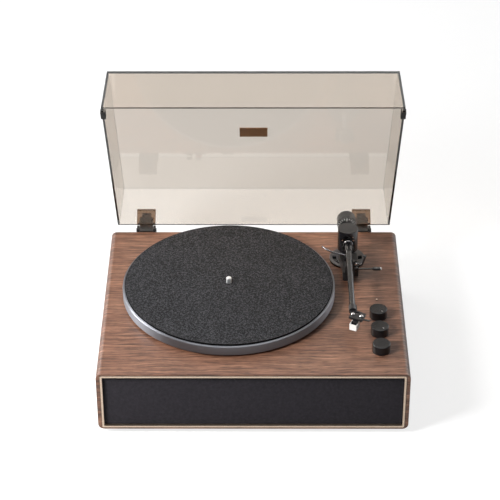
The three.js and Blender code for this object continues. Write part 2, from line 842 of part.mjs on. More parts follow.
function pivotHousing() {
  const bottom = pedestalHeight + seat;
  const body = turned([
    [0, -swingShaftDepth], [swingShaftRadius, -swingShaftDepth], [swingShaftRadius, bottom],
    [housingRadius, bottom], [housingRadius, housingTop - housingBevel],
    [housingRadius - housingBevel, housingTop], [0, housingTop],
  ]);
  const archTop = archCrown - archHalfWidth;
  const arch = new THREE.Shape();
  arch.absarc(0, archTop, archHalfWidth, 0, Math.PI);
  arch.lineTo(-archHalfWidth, archFloor);
  arch.lineTo(archHalfWidth, archFloor);
  arch.closePath();
  const passage = frontSection(arch, -housingRadius - overrun, housingRadius + overrun);
  const across = housingRadius + overrun;
  const pinHoles = pointedAlongX(rod(pivotPinRadius + seat, -across, across, smallSteps))
    .translate(0, 0, armHeight);
  return cut(body, passage, pinHoles);
}
add('pivot_housing', 'blackPaint', pivotHousing(), armStand);

for (const [side, sign] of sides) {
  const inner = hubRadius - pivotPinBite;
  const outer = housingRadius - housingBevel;
  const pin = pointedAlongX(rod(pivotPinRadius, Math.min(sign * inner, sign * outer),
    Math.max(sign * inner, sign * outer), smallSteps));
  add(`pivot_pin_${side}`, 'steel', pin.translate(0, 0, armHeight), armStand);
}

// The parts that lift lie along the arm's own axis, with +Z of their profiles pointing back
const arm = new THREE.Group();
arm.position.set(0, 0, armHeight);
armStand.add(arm);

function armHub() {
  const body = turned([
    [0, -hubFront], [hubRadius, -hubFront], [hubRadius, hubRear], [rodRadius, hubRear],
    [rodRadius, rodRear], [0, rodRear],
  ]);
  const inner = hubRadius - pivotPinBite - seat;
  const outer = hubRadius + overrun;
  const pinSeats = sides.map(([, sign]) => pointedAlongX(rod(pivotPinRadius + seat,
    Math.min(sign * inner, sign * outer), Math.max(sign * inner, sign * outer), smallSteps)));
  return cut(pointedAlongY(body), ...pinSeats);
}
add('arm_hub', 'steel', armHub(), arm);

const stylusReach = spindleDistance + stylusOverhang;
const headTurn = THREE.MathUtils.degToRad(headTurnDeg);
const screwReach = stylusReach - stylusAhead * Math.cos(headTurn);
const tubeFront = screwReach - shellShoulder - neckLength - neckOverlap;

add('arm_tube', 'blackPaint', pointedAlongY(turnedRing([
  [tubeBore, -tubeFront - neckOverlap], [tubeRadius, -tubeFront - neckOverlap], [tubeRadius, -sleeveFront],
  [sleeveRadius, -sleeveFront], [sleeveRadius, -hubFront - seat], [tubeBore, -hubFront - seat],
])), arm);

const weightBore = rodRadius + weightBoreGap;
add('scale_ring', 'blackPlastic', pointedAlongY(turnedRing([
  [weightBore, weightFront - ringLength], [ringRadius, weightFront - ringLength],
  [ringRadius, weightFront - seat], [weightBore, weightFront - seat],
])), arm);
const weightRear = weightFront + weightLength;
add('counterweight', 'blackPaint', pointedAlongY(turnedRing([
  [weightBore, weightFront], [weightRadius, weightFront], [weightRadius, weightRear - weightBevel],
  [weightRadius - weightBevel, weightRear], [weightBore, weightRear],
])), arm);

// Head of the arm, in its own turned axes
const head = new THREE.Group();
head.position.set(headSideOffset, -screwReach, 0);
head.rotation.z = headTurn;
arm.add(head);

// A point of the arm's axes in those of the head
function inHead(x, y) {
  return new THREE.Vector2(x - headSideOffset, y + screwReach).rotateAround(new THREE.Vector2(), -headTurn);
}

const shellBottom = shellTop - shellThickness;

function screwHoles(z0, z1) {
  return sides.map(([, sign]) => rod(screwRadius + seat, z0, z1, smallSteps)
    .translate(sign * screwSideDistance, 0, 0));
}

function headshell() {
  const neckRear = -tubeFront;
  const neckFront = neckRear - neckLength;
  const shape = new THREE.Shape([
    inHead(-neckLeft, neckRear), inHead(-neckLeft, neckFront),
    new THREE.Vector2(-shellHalfWidth, shellLeftBack), new THREE.Vector2(-shellHalfWidth, -shellFront),
    new THREE.Vector2(shellHalfWidth, -shellFront), new THREE.Vector2(shellHalfWidth, shellShoulder),
    inHead(neckRight, neckFront), inHead(neckRight, neckRear),
  ]);
  const collar = pointedAlongY(rod(sleeveRadius, -tubeFront - neckLength, -tubeFront));
  const toHead = new THREE.Matrix4().makeRotationZ(-headTurn).multiply(
    new THREE.Matrix4().makeTranslation(-headSideOffset, screwReach, 0));
  const socket = pointedAlongY(rod(tubeRadius + seat, -tubeFront - neckOverlap - seat, -tubeFront + overrun));
  const body = join(plate(shape, shellBottom, shellTop), collar.applyMatrix4(toHead));
  const slot = plate(roundedRectangle(-shellSlotLeft, shellSlotRight, shellSlotFront, shellSlotRear,
    (shellSlotRear - shellSlotFront) / 2), shellBottom - overrun, shellTop + overrun, smallSteps / 2);
  return cut(body, slot, socket.applyMatrix4(toHead),
    ...screwHoles(shellBottom - overrun, shellTop + overrun));
}
add('headshell', 'blackPlastic', headshell(), head);

function fingerLift() {
  const root = shellHalfWidth + seat;
  const tip = root + liftLength;
  const bar = outline([
    [root, shellTop - liftThickness], [tip - liftTipLength, shellTop - liftThickness],
    [tip, shellTop - liftThickness + liftTipRise], [tip, shellTop + liftTipRise],
    [tip - liftTipLength, shellTop], [root, shellTop],
  ]);
  return frontSection(bar, -liftSetback, -liftSetback + liftWidth);
}
add('finger_lift', 'blackPlastic', fingerLift(), head);

const cartridgeTop = shellBottom - seat;
const cartridgeBottom = cartridgeTop - cartridgeHeight;

function cartridge() {
  const half = cartridgeHalfWidth;
  const body = join(
    block(-half, half, -cartridgeFront, cartridgeRear, cartridgeBottom, cartridgeTop),
    block(-cartridgeEarHalfWidth, cartridgeEarHalfWidth, -cartridgeEarDepth, cartridgeEarDepth,
      cartridgeTop - cartridgeEarHeight, cartridgeTop));
  return cut(body, ...screwHoles(cartridgeTop - screwBite, cartridgeTop + overrun));
}
add('cartridge', 'blackPlastic', cartridge(), head);

for (const [side, sign] of sides) {
  const screwEnd = cartridgeTop - screwBite + seat;
  const headBottom = shellTop + seat;
  add(`cartridge_screw_${side}`, 'steel', turned([
    [0, screwEnd], [screwRadius, screwEnd], [screwRadius, headBottom], [screwHeadRadius, headBottom],
    [screwHeadRadius, headBottom + screwHeadHeight], [0, headBottom + screwHeadHeight],
  ], smallSteps).translate(sign * screwSideDistance, 0, 0), head);
}

// Stylus: a holder under the cartridge, with the sprung rod that carries the tip
const holderTop = cartridgeBottom - seat;
const holderBottom = holderTop - stylusHolderHeight;
const lipFront = -cartridgeFront - seat - stylusHolderLip;

function stylus() {
  const half = stylusHolderHalfWidth;
  const lipTop = holderTop + stylusHolderLipHeight;
  const holder = join(
    block(-half, half, lipFront, stylusHolderRear, holderBottom, holderTop),
    block(-half, half, lipFront, lipFront + stylusHolderLip, holderBottom, lipTop));
  const drop = stylusDrop + holderBottom;
  const run = stylusAhead - cantileverRoot;
  const slot = block(-half / 2, half / 2, lipFront - overrun, -cantileverRoot, holderBottom - overrun,
    holderTop + stylusHolderLipHeight / 2);
  const needle = rod(cantileverRadius, -overrun, Math.hypot(run, drop), smallSteps / 2)
    .rotateX(Math.PI / 2 + Math.atan2(drop, run))
    .translate(0, -cantileverRoot, holderBottom + cantileverRadius);
  return join(cut(holder, slot), needle);
}
add('stylus', 'blackPlastic', stylus(), head);

function stylusGuard() {
  const bottom = -stylusDrop - seat - guardFloor;
  const inner = guardHalfWidth - guardWall;
  const top = bottom + guardHeight;
  const tray = block(-guardHalfWidth, guardHalfWidth, -guardFront, -guardRear, bottom, top);
  const hooks = sides.map(([, sign]) => block(Math.min(sign * inner, sign * guardHalfWidth),
    Math.max(sign * inner, sign * guardHalfWidth), -guardRear - guardHookLength, -guardRear,
    bottom, top + guardHookHeight));
  const hollow = block(-inner, inner, -guardFront + guardWall, -guardRear + overrun, bottom + guardFloor,
    top + guardHookHeight + overrun);
  return cut(join(tray, ...hooks), hollow);
}
add('stylus_guard', 'whitePlastic', stylusGuard(), head);

// Arm rest: a bracket on the base that reaches forward under the tube, with an open cradle
const tubeUnderside = armHeight - tubeRadius;
const wallLeft = tubeRadius + cradleWallGap;
const leverY = -leverReach;
const clipAxisX = wallLeft + cradleWall + clipPivotGap;
const clipAxisZ = armHeight - clipPivotDrop;
const cradleFront = -restFront;
const cradleRear = cradleFront + cradleLength;
const cradleMiddle = (cradleFront + cradleRear) / 2;

function armRest() {
  const bracket = plate(outline([
    [-restRearHalfWidth, -restRear], [-restFrontLeft, -restWaist],
    [-restFrontLeft, cradleFront + cradleWall], [-restFrontLeft + cradleWall, cradleFront],
    [restFrontRight, cradleFront], [restFrontRight, -restWaist - leverPinRadius],
    [restRearHalfWidth, -restWaist + leverPinRadius], [restRearHalfWidth, -restRear],
  ]), restFloor, restTop);
  const eyeHalf = leverEyeWidth / 2;
  const forkHalf = eyeHalf + leverCheek;
  const leverFork = block(0, leverSide + leverEyeRadius, leverY - forkHalf, leverY + forkHalf,
    restFloor, restTop);
  const cradle = block(-cradleLeft, wallLeft + cradleWall, cradleFront, cradleRear, restFloor,
    tubeUnderside - cradleDrop);
  const wall = block(wallLeft, wallLeft + cradleWall, cradleFront, cradleRear, restFloor,
    armHeight + cradleWallRise);
  const earPlate = block(wallLeft, clipAxisX + clipPivotGap, cradleMiddle + clipWidth / 2 + seat,
    cradleRear, clipAxisZ - clipPivotGap, clipAxisZ + clipPivotGap);
  const pedestalRoom = rod(pedestalRadius + seat, 0, pedestalHeight + overrun);
  const eyeRoom = block(leverSide - leverEyeRadius - seat, leverSide + leverEyeRadius + overrun,
    leverY - eyeHalf - seat, leverY + eyeHalf + seat, restFloor - overrun, restTop + overrun);
  const pinHole = pointedAlongY(rod(leverPinRadius + seat, leverY - forkHalf - overrun,
    leverY + forkHalf + overrun, smallSteps)).translate(leverSide, 0, leverHeight);
  const postPlace = cuePoint(cuePostDeg);
  const postHole = rod(cuePostRadius + seat, restFloor - overrun, restTop + overrun, smallSteps)
    .translate(postPlace.x, postPlace.y, 0);
  const clipHole = pointedAlongY(rod(clipPinRadius + seat, cradleMiddle, cradleRear + overrun, smallSteps))
    .translate(clipAxisX, 0, clipAxisZ);
  return cut(join(bracket, leverFork, cradle, wall, earPlate),
    pedestalRoom, eyeRoom, pinHole, postHole, clipHole);
}

// A place on the lift bar's arc, in the arm stand's axes
function cuePoint(deg) {
  const angle = THREE.MathUtils.degToRad(deg);
  const x = cueArcSide + cueArcRadius * Math.cos(angle);
  const y = cueArcBack + cueArcRadius * Math.sin(angle);
  return new THREE.Vector2(x, y);
}
add('arm_rest', 'blackPlastic', armRest(), armStand);

function restClip() {
  const inner = clipReach - clipThickness;
  const hook = outline([
    [-clipThickness / 2, 0], [clipThickness / 2, 0], [clipThickness / 2, clipRise],
    [-clipReach, clipRise], [-clipReach, clipRise - clipLip], [-inner, clipRise - clipLip],
    [-inner, clipRise - clipThickness], [-clipThickness / 2, clipRise - clipThickness],
  ]);
  const strap = frontSection(hook, -clipWidth / 2, clipWidth / 2);
  const eyeRadius = clipPinRadius + clipThickness / 2;
  const eye = pointedAlongY(rod(eyeRadius, -clipWidth / 2, clipWidth / 2, smallSteps));
  const pin = pointedAlongY(rod(clipPinRadius, 0, cradleLength / 2, smallSteps));
  return join(strap, eye, pin);
}
const clip = new THREE.Group();
clip.position.set(clipAxisX, cradleMiddle, clipAxisZ);
clip.rotation.y = THREE.MathUtils.degToRad(clipOpenDeg);
armStand.add(clip);
add('rest_clip', 'steel', restClip(), clip);

// Lift bar under the arm, on its post, and the lever that lowers it
class CueArc extends THREE.Curve {
  getPoint(share, target = new THREE.Vector3()) {
    const place = cuePoint(THREE.MathUtils.lerp(cueArcStartDeg, cueArcEndDeg, share));
    return target.set(place.x, place.y, cueHeight - cueBarRadius);
  }
}

function cueLift() {
  const section = new THREE.Shape();
  section.absarc(0, 0, cueBarRadius, 0, 2 * Math.PI);
  const bar = new THREE.ExtrudeGeometry(section, {
    extrudePath: new CueArc(), steps: cueArcSteps, curveSegments: smallSteps / 4, bevelEnabled: false,
  });
  const postPlace = cuePoint(cuePostDeg);
  const postTop = cueHeight - cueBarRadius;
  const post = rod(cuePostRadius, postTop - cuePostLength, postTop, smallSteps)
    .translate(postPlace.x, postPlace.y, 0);
  return join(bar, post);
}
add('cue_lift', 'blackPaint', cueLift(), armStand);

function cueLever() {
  const half = leverEyeWidth / 2;
  const pinHalf = half + leverCheek;
  const capStart = leverEyeRadius + leverRodLength;
  const eye = pointedAlongY(rod(leverEyeRadius, -half, half, smallSteps));
  const pin = pointedAlongY(rod(leverPinRadius, -pinHalf, pinHalf, smallSteps));
  const stem = pointedAlongX(turned([
    [0, 0], [leverRodRadius, 0], [leverRodRadius, capStart], [leverCapRadius, capStart + leverCapRadius],
    [leverCapRadius, capStart + leverCapLength - leverRodRadius],
    [leverCapRadius - leverRodRadius, capStart + leverCapLength], [0, capStart + leverCapLength],
  ], smallSteps));
  return join(eye, pin, stem).translate(leverSide, leverY, leverHeight);
}
add('cue_lever', 'blackPaint', cueLever(), armStand);

// Hinges, fixed to the back of the cabinet; their axis is the origin of the cover's pieces
const hingeAxisY = cabinetRear + hingeBehind;
const hingeAxisZ = cabinetHeight - hingeBelowTop;
const hinges = new THREE.Group();
hinges.position.set(0, hingeAxisY, hingeAxisZ);
player.add(hinges);

const plateFront = -hingeBehind + seat;
const hingeHalf = hingeWidth / 2;
const leafHalf = hingeHalf - earThickness - leafGap;

function hingeBracket() {
  const ear = new THREE.Shape();
  ear.absarc(0, 0, earRadius, 0, Math.PI);
  ear.lineTo(plateFront, -earRadius / 2);
  ear.lineTo(plateFront, -hingePlateBottom);
  ear.lineTo(plateFront + earFoot, -hingePlateBottom);
  ear.lineTo(earRadius, -earRadius);
  ear.closePath();
  const base = block(-hingeHalf, hingeHalf, plateFront, plateFront + hingePlateThickness,
    -hingePlateBottom, -hingePlateTop);
  const across = hingeHalf + overrun;
  const body = join(base, sideSection(ear, -hingeHalf, -hingeHalf + earThickness),
    sideSection(ear, hingeHalf - earThickness, hingeHalf));
  return cut(body, pointedAlongX(rod(pinRadius + seat, -across, across, smallSteps)));
}

function hingePin() {
  const reach = hingeHalf + seat;
  const end = reach + pinHeadLength;
  return pointedAlongX(turned([
    [0, -end], [pinHeadRadius, -end], [pinHeadRadius, -reach], [pinRadius, -reach], [pinRadius, reach],
    [pinHeadRadius, reach], [pinHeadRadius, end], [0, end],
  ], smallSteps));
}

const cover = new THREE.Group();
cover.position.copy(hinges.position);
cover.rotation.x = -THREE.MathUtils.degToRad(coverOpenDeg);
player.add(cover);

function hingeLeaf() {
  const rear = -leafFront + leafThickness;
  const body = join(
    pointedAlongX(rod(barrelRadius, -leafHalf, leafHalf, smallSteps)),
    block(-leafHalf, leafHalf, -leafFront, rear, -leafBottom, leafShoulder),
    block(-leafTabHalfWidth, leafTabHalfWidth, -leafFront, rear, leafShoulder - overrun, leafTop));
  return cut(body, pointedAlongX(rod(pinRadius + seat, -hingeHalf, hingeHalf, smallSteps)));
}

for (const [side, sign] of sides) {
  const x = sign * hingeSideDistance;
  add(`hinge_bracket_${side}`, 'blackPaint', hingeBracket().translate(x, 0, 0), hinges);
  add(`hinge_pin_${side}`, 'steel', hingePin().translate(x, 0, 0), hinges);
  add(`hinge_leaf_${side}`, 'blackPlastic', hingeLeaf().translate(x, 0, 0), cover);
}

// Dust cover, drawn closed about the hinge axis, with the sockets that the leaves slide into
const coverHalfWidth = cabinetRight - coverSideInset;
const coverRear = cabinetRear - coverRearInset - hingeAxisY;
const coverFront = cabinetFront + coverFrontInset - hingeAxisY;
const rim = cabinetHeight + coverLift - hingeAxisZ;
const coverTop = rim + coverHeight;

function hingeSocket(x) {
  const outside = -leafFront + leafThickness + seat + pocketSkin;
  return block(x - leafHalf - pocketSideWall, x + leafHalf + pocketSideWall, coverRear - pocketRoot, outside,
    pocketBottom, pocketTop);
}

function hingeSocketRoom(x) {
  const front = -leafFront - seat;
  const rear = -leafFront + leafThickness + seat;
  const room = (half, z0, z1) => block(x - half - seat, x + half + seat, front, rear, z0, z1);
  return [
    room(leafHalf, pocketBottom - overrun, leafShoulder + seat),
    room(leafTabHalfWidth, leafShoulder, leafTop + seat),
  ];
}

function dustCover() {
  const places = sides.map(([, sign]) => sign * hingeSideDistance);
  const shell = cut(
    draftedBlock(-coverHalfWidth, coverHalfWidth, coverFront, coverRear, rim, coverTop, coverDraft),
    insideOfCover());
  return cut(join(shell, ...places.map(hingeSocket)), ...places.flatMap(hingeSocketRoom));
}

// The hollow keeps the outside's draft, so the sides are as thick at the top as at the rim
function insideOfCover() {
  const slope = coverDraft / coverHeight;
  const low = rim - overrun;
  const high = coverTop - coverWall;
  const flare = overrun * slope;
  return draftedBlock(-coverHalfWidth + coverWall - flare, coverHalfWidth - coverWall + flare,
    coverFront + coverWall - flare, coverRear - coverWall + flare, low, high, (high - low) * slope);
}
add('dust_cover', 'smokedAcrylic', dustCover(), cover);

const badgeRear = coverRear - badgeRearDistance;
add('badge_plate', 'bronze', block(-badgeWidth / 2, badgeWidth / 2, badgeRear - badgeLength, badgeRear,
  coverTop + seat, coverTop + seat + badgeThickness), cover);

// Rubber bumpers that clip over the rim of the side walls near the front
function lidBumper(sign) {
  const lean = bumperCover * coverDraft / coverHeight;
  const outer = coverHalfWidth + seat;
  const inner = coverHalfWidth - coverWall - lean - seat;
  const front = coverFront + bumperFrontDistance;
  const span = (a, b, y0, y1, z0, z1) => block(Math.min(sign * a, sign * b),
    Math.max(sign * a, sign * b), y0, y1, z0, z1);
  const body = span(inner - bumperWall, outer + bumperWall, front, front + bumperLength,
    rim - bumperDrop, rim + bumperCover);
  const slot = span(inner, outer, front - overrun, front + bumperLength + overrun, rim - seat,
    rim + bumperCover + overrun);
  return cut(body, slot);
}
for (const [side, sign] of sides) {
  add(`lid_bumper_${side}`, 'blackRubber', lidBumper(sign), cover);
}

// Stand the player on its feet and centre its footprint
const footprint = new THREE.Box3().setFromObject(player, true);
player.position.set(0, -(footprint.min.y + footprint.max.y) / 2, footHeight);

export default player;
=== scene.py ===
"""A record player with its cover open, on a white table.

The file follows the object as it is put together: the view of it, the cabinet and its
front, the sockets at the back, the knobs, the drive and platter, the tone arm, and the
dust cover. Lengths are in metres, X to the right, Y to the back, Z up.
"""

import json
import math

import bmesh
import bpy
import numpy as np
from mathutils import Matrix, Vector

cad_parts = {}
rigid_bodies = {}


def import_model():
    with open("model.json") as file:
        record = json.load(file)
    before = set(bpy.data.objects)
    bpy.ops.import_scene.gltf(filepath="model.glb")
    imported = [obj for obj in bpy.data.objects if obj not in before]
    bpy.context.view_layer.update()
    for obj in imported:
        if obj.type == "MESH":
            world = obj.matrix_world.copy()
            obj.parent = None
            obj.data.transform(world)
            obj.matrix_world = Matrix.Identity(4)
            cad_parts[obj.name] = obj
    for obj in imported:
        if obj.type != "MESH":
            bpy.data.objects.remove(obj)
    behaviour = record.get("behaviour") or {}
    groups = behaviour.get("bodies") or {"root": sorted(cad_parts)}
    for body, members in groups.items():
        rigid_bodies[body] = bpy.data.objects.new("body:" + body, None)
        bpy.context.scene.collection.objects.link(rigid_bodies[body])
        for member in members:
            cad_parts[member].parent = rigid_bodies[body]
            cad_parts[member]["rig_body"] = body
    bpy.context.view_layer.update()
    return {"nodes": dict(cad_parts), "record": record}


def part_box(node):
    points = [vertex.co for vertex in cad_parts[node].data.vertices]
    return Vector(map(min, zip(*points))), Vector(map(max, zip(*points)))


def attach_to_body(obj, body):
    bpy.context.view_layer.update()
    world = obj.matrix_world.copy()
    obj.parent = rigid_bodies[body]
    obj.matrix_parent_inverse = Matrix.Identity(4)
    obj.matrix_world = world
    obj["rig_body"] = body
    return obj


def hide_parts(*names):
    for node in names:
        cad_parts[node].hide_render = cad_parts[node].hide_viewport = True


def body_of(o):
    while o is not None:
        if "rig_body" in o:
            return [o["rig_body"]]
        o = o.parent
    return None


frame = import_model()

# The view. A lens of 137 mm on a 36 mm frame, from straight in front and 34 degrees
# above the deck, as the photographer stood.
LENS_MM = 137.14
CAMERA_PLACE = (0.0071, -2.2050, 1.6550)
CAMERA_PITCH = math.radians(34.01)
CAMERA_YAW = math.radians(-0.31)
CAMERA_ROLL = math.radians(-0.16)


def facing(place, ahead, roll=0.0):
    """The matrix of a camera or lamp at place that looks along ahead, with its width level
    but for a roll about that line: the columns are its right, its up and its back."""
    ahead = np.array(ahead) / np.linalg.norm(ahead)
    level = np.cross(ahead, (0.0, 0.0, 1.0))
    level = level / np.linalg.norm(level)
    upright = np.cross(level, ahead)
    right = level * math.cos(roll) + upright * math.sin(roll)
    up = upright * math.cos(roll) - level * math.sin(roll)
    turn = Matrix(np.stack((right, up, -ahead), axis=1).tolist())
    return Matrix.Translation(place) @ turn.to_4x4()


camera_data = bpy.data.cameras.new("camera")
camera_data.lens = LENS_MM
camera_data.sensor_width = 36
camera_data.clip_end = 50
camera = bpy.data.objects.new("camera", camera_data)
camera.matrix_world = facing(CAMERA_PLACE, (
    math.sin(CAMERA_YAW) * math.cos(CAMERA_PITCH), math.cos(CAMERA_YAW) * math.cos(CAMERA_PITCH),
    -math.sin(CAMERA_PITCH)), CAMERA_ROLL)
bpy.context.scene.collection.objects.link(camera)
bpy.context.scene.camera = camera
bpy.context.scene.view_settings.view_transform = "Standard"


# The table and the studio. A matt white table runs to the horizon, where the camera, a
# reflection or the clear cover sees it as white paper with the player's shadow left on it.
def linear(code):
    """An sRGB hex colour as linear red, green, blue and full alpha."""
    share = np.array([int(code[i : i + 2], 16) for i in (1, 3, 5)]) / 255
    light = np.where(share <= 0.04045, share / 12.92, ((share + 0.055) / 1.055) ** 2.4)
    return (*light.tolist(), 1.0)


def plug(node, inputs):
    """Each named input takes a value, an output socket, or the first output of a node."""
    for name, value in inputs.items():
        if isinstance(value, bpy.types.Node):
            value = value.outputs[0]
        if isinstance(value, bpy.types.NodeSocket):
            node.id_data.links.new(value, node.inputs[name])
        else:
            node.inputs[name].default_value = value


def add_node(tree, kind, inputs=None, stops=None, **settings):
    """A new shader node with its settings and inputs. Stops are a colour ramp's (place, hex
    colour) pairs."""
    made = tree.nodes.new(kind)
    for name, value in settings.items():
        setattr(made, name, value)
    plug(made, inputs or {})
    if stops:
        elements = made.color_ramp.elements
        while len(elements) < len(stops):
            elements.new(1.0)
        for element, (place, code) in zip(elements, stops):
            element.position = place
            element.color = linear(code)
    return made


def new_finish(name, uniform):
    """A material with its node tree and the shader that its surface reads, whose sockets
    take the uniform values."""
    finish = bpy.data.materials.new(name)
    finish.use_nodes = True
    shader = finish.node_tree.nodes["Principled BSDF"]
    plug(shader, uniform)
    return finish, finish.node_tree, shader


def level_by_ray(tree, seen, mirrored, through, lit):
    """A level for each kind of ray: what the camera sees, what a mirror shows, what shows
    through the clear cover, and the light that falls on things. It starts from the last, and
    each other kind adds its difference; a ray through the cover counts as glossy as well."""
    path = add_node(tree, "ShaderNodeLightPath")
    level = lit
    for kind, extra in (("Camera", seen - lit), ("Glossy", mirrored - lit),
                        ("Transmission", through - mirrored)):
        level = add_node(tree, "ShaderNodeMath", {
            0: path.outputs[f"Is {kind} Ray"], 1: extra, 2: level}, operation="MULTIPLY_ADD")
    return level


TABLE_HALF = 12.0
TABLE_GREY = "#9C9C9C"

table_mesh = bpy.data.meshes.new("table")
corners = np.array([(-1, -1, 0), (1, -1, 0), (1, 1, 0), (-1, 1, 0)]) * TABLE_HALF
table_mesh.from_pydata(corners.tolist(), [], [(0, 1, 2, 3)])
table = bpy.data.objects.new("table", table_mesh)
bpy.context.scene.collection.objects.link(table)
table_paper, tree, paper = new_finish("white_table_paper", {
    "Base Color": linear(TABLE_GREY), "Roughness": 1.0, "Specular IOR Level": 0.0})
glow = add_node(tree, "ShaderNodeEmission", {"Strength": level_by_ray(tree, 0.79, 0.6, 0.66, 0.0)})
both = add_node(tree, "ShaderNodeAddShader", {0: paper, 1: glow})
plug(tree.nodes["Material Output"], {"Surface": both})
table_mesh.materials.append(table_paper)

ROOM_LIGHT = 0.19
ROOM_MIRRORED = 0.25
room = bpy.data.worlds.new("studio_room")
room.use_nodes = True
plug(room.node_tree.nodes["Background"], {
    "Color": linear("#FFFFFF"),
    "Strength": level_by_ray(room.node_tree, 1.0, ROOM_MIRRORED, 1.0, ROOM_LIGHT)})
bpy.context.scene.world = room


def soft_box(name, place, width, height, power, light=True, shine=True, target=(0.0, 0.0, 0.1)):
    """A rectangular lamp at place, turned to target, with its width level. With no light it
    only shows in glossy surfaces, and with no shine it never shows in them."""
    lamp = bpy.data.lights.new(name, "AREA")
    lamp.shape = "RECTANGLE"
    lamp.size = width
    lamp.size_y = height
    lamp.energy = power
    holder = bpy.data.objects.new(name, lamp)
    holder.matrix_world = facing(place, np.subtract(target, place))
    holder.visible_diffuse = light
    holder.visible_glossy = shine
    bpy.context.scene.collection.objects.link(holder)


# A wide window at the left and a little behind, which shines in the platter's side, a lamp
# close by at the front left, whose light falls off over the deck, and three that only show
# as a shine: the window's brightest pane, a pale wall at the rear right, and the ceiling
soft_box("window_left", (-1.85, 0.9, 1.2), 2.2, 1.0, 40)
soft_box("lamp_front_left", (-0.65, -0.6, 0.8), 0.3, 0.3, 19, shine=False)
soft_box("bright_pane_left", (-1.32, 0.34, 1.1), 0.75, 0.5, 27, light=False)
soft_box("wall_rear_right", (1.5, 1.1, 1.0), 1.4, 1.0, 16, light=False)
soft_box("ceiling", (0.1, 0.1, 2.8), 2.8, 2.8, 72, light=False, target=(0.0, 0.1, 0.0))


# The cabinet. Fibreboard panels mitred into a box and wrapped in one sheet of walnut foil,
# whose grain runs from side to side over the deck and turns down with it at both ends.
def add_coordinates(tree, map_name=None, offset=(0, 0, 0), scale=(1, 1, 1)):
    """Object coordinates, or the named UV map, scaled and then moved."""
    if map_name:
        source = add_node(tree, "ShaderNodeUVMap", uv_map=map_name).outputs[0]
    else:
        source = add_node(tree, "ShaderNodeTexCoord").outputs["Object"]
    return add_node(tree, "ShaderNodeMapping", {
        "Vector": source, "Location": offset, "Scale": scale})


def distance_from(tree, x=0.0, y=0.0, z=0.0, along=2):
    """How far each point lies from a line through (x, y, z) that runs along this axis."""
    across = [0 if axis == along else 1 for axis in range(3)]
    return add_node(tree, "ShaderNodeVectorMath", {0: add_coordinates(
        tree, offset=(-x, -y, -z), scale=across)}, operation="LENGTH").outputs["Value"]


def blend_base(tree, shader, factor, first, second, way="MIX"):
    """The base colour is the first colour blended with the second by factor."""
    blend = add_node(tree, "ShaderNodeMix", {"Factor": factor, "A": first, "B": second},
                     data_type="RGBA", blend_type=way)
    plug(shader, {"Base Color": blend.outputs["Result"]})


def add_bump(tree, shader, height, strength, depth):
    """The shader's normal is tilted by height, which stands for depth in metres."""
    plug(shader, {"Normal": add_node(tree, "ShaderNodeBump", {
        "Height": height, "Strength": strength, "Distance": depth})})


def attach(piece, body):
    """The piece rides on this body of the model."""
    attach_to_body(piece, body)


def settle(piece, node):
    """The piece stands for this CAD node, which it hides: it rides on its body."""
    attach(piece, body_of(frame["nodes"][node])[0])
    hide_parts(node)
    return piece


def round_edges(piece, edge_mm, rounds, limit_deg):
    """Edges sharper than limit_deg are rounded over edge_mm, and the shading of each point
    follows the largest faces round it, so that flat faces shade flat."""
    rounding = piece.modifiers.new("edges", "BEVEL")
    rounding.width = edge_mm / 1000
    rounding.segments = rounds
    rounding.limit_method = "ANGLE"
    rounding.angle_limit = math.radians(limit_deg)
    piece.modifiers.new("flat_faces", "WEIGHTED_NORMAL")


def dressed(node, finish, edge_mm=0.4, rounds=2, limit_deg=35):
    """A copy of a CAD node with its points merged and its flat faces joined. Edges sharper
    than limit_deg are rounded over edge_mm, and the rest of the surface is shaded smooth."""
    merged = bmesh.new()
    merged.from_mesh(frame["nodes"][node].data)
    bmesh.ops.remove_doubles(merged, verts=merged.verts, dist=1e-6)
    bmesh.ops.dissolve_limit(merged, angle_limit=math.radians(0.5), verts=merged.verts,
                             edges=merged.edges)
    mesh = bpy.data.meshes.new(node + "_finished")
    merged.to_mesh(mesh)
    merged.free()
    mesh.materials.clear()
    mesh.materials.append(finish)
    mesh.shade_smooth()
    piece = bpy.data.objects.new(node + "_finished", mesh)
    bpy.context.scene.collection.objects.link(piece)
    round_edges(piece, edge_mm, rounds, limit_deg)
    return settle(piece, node)


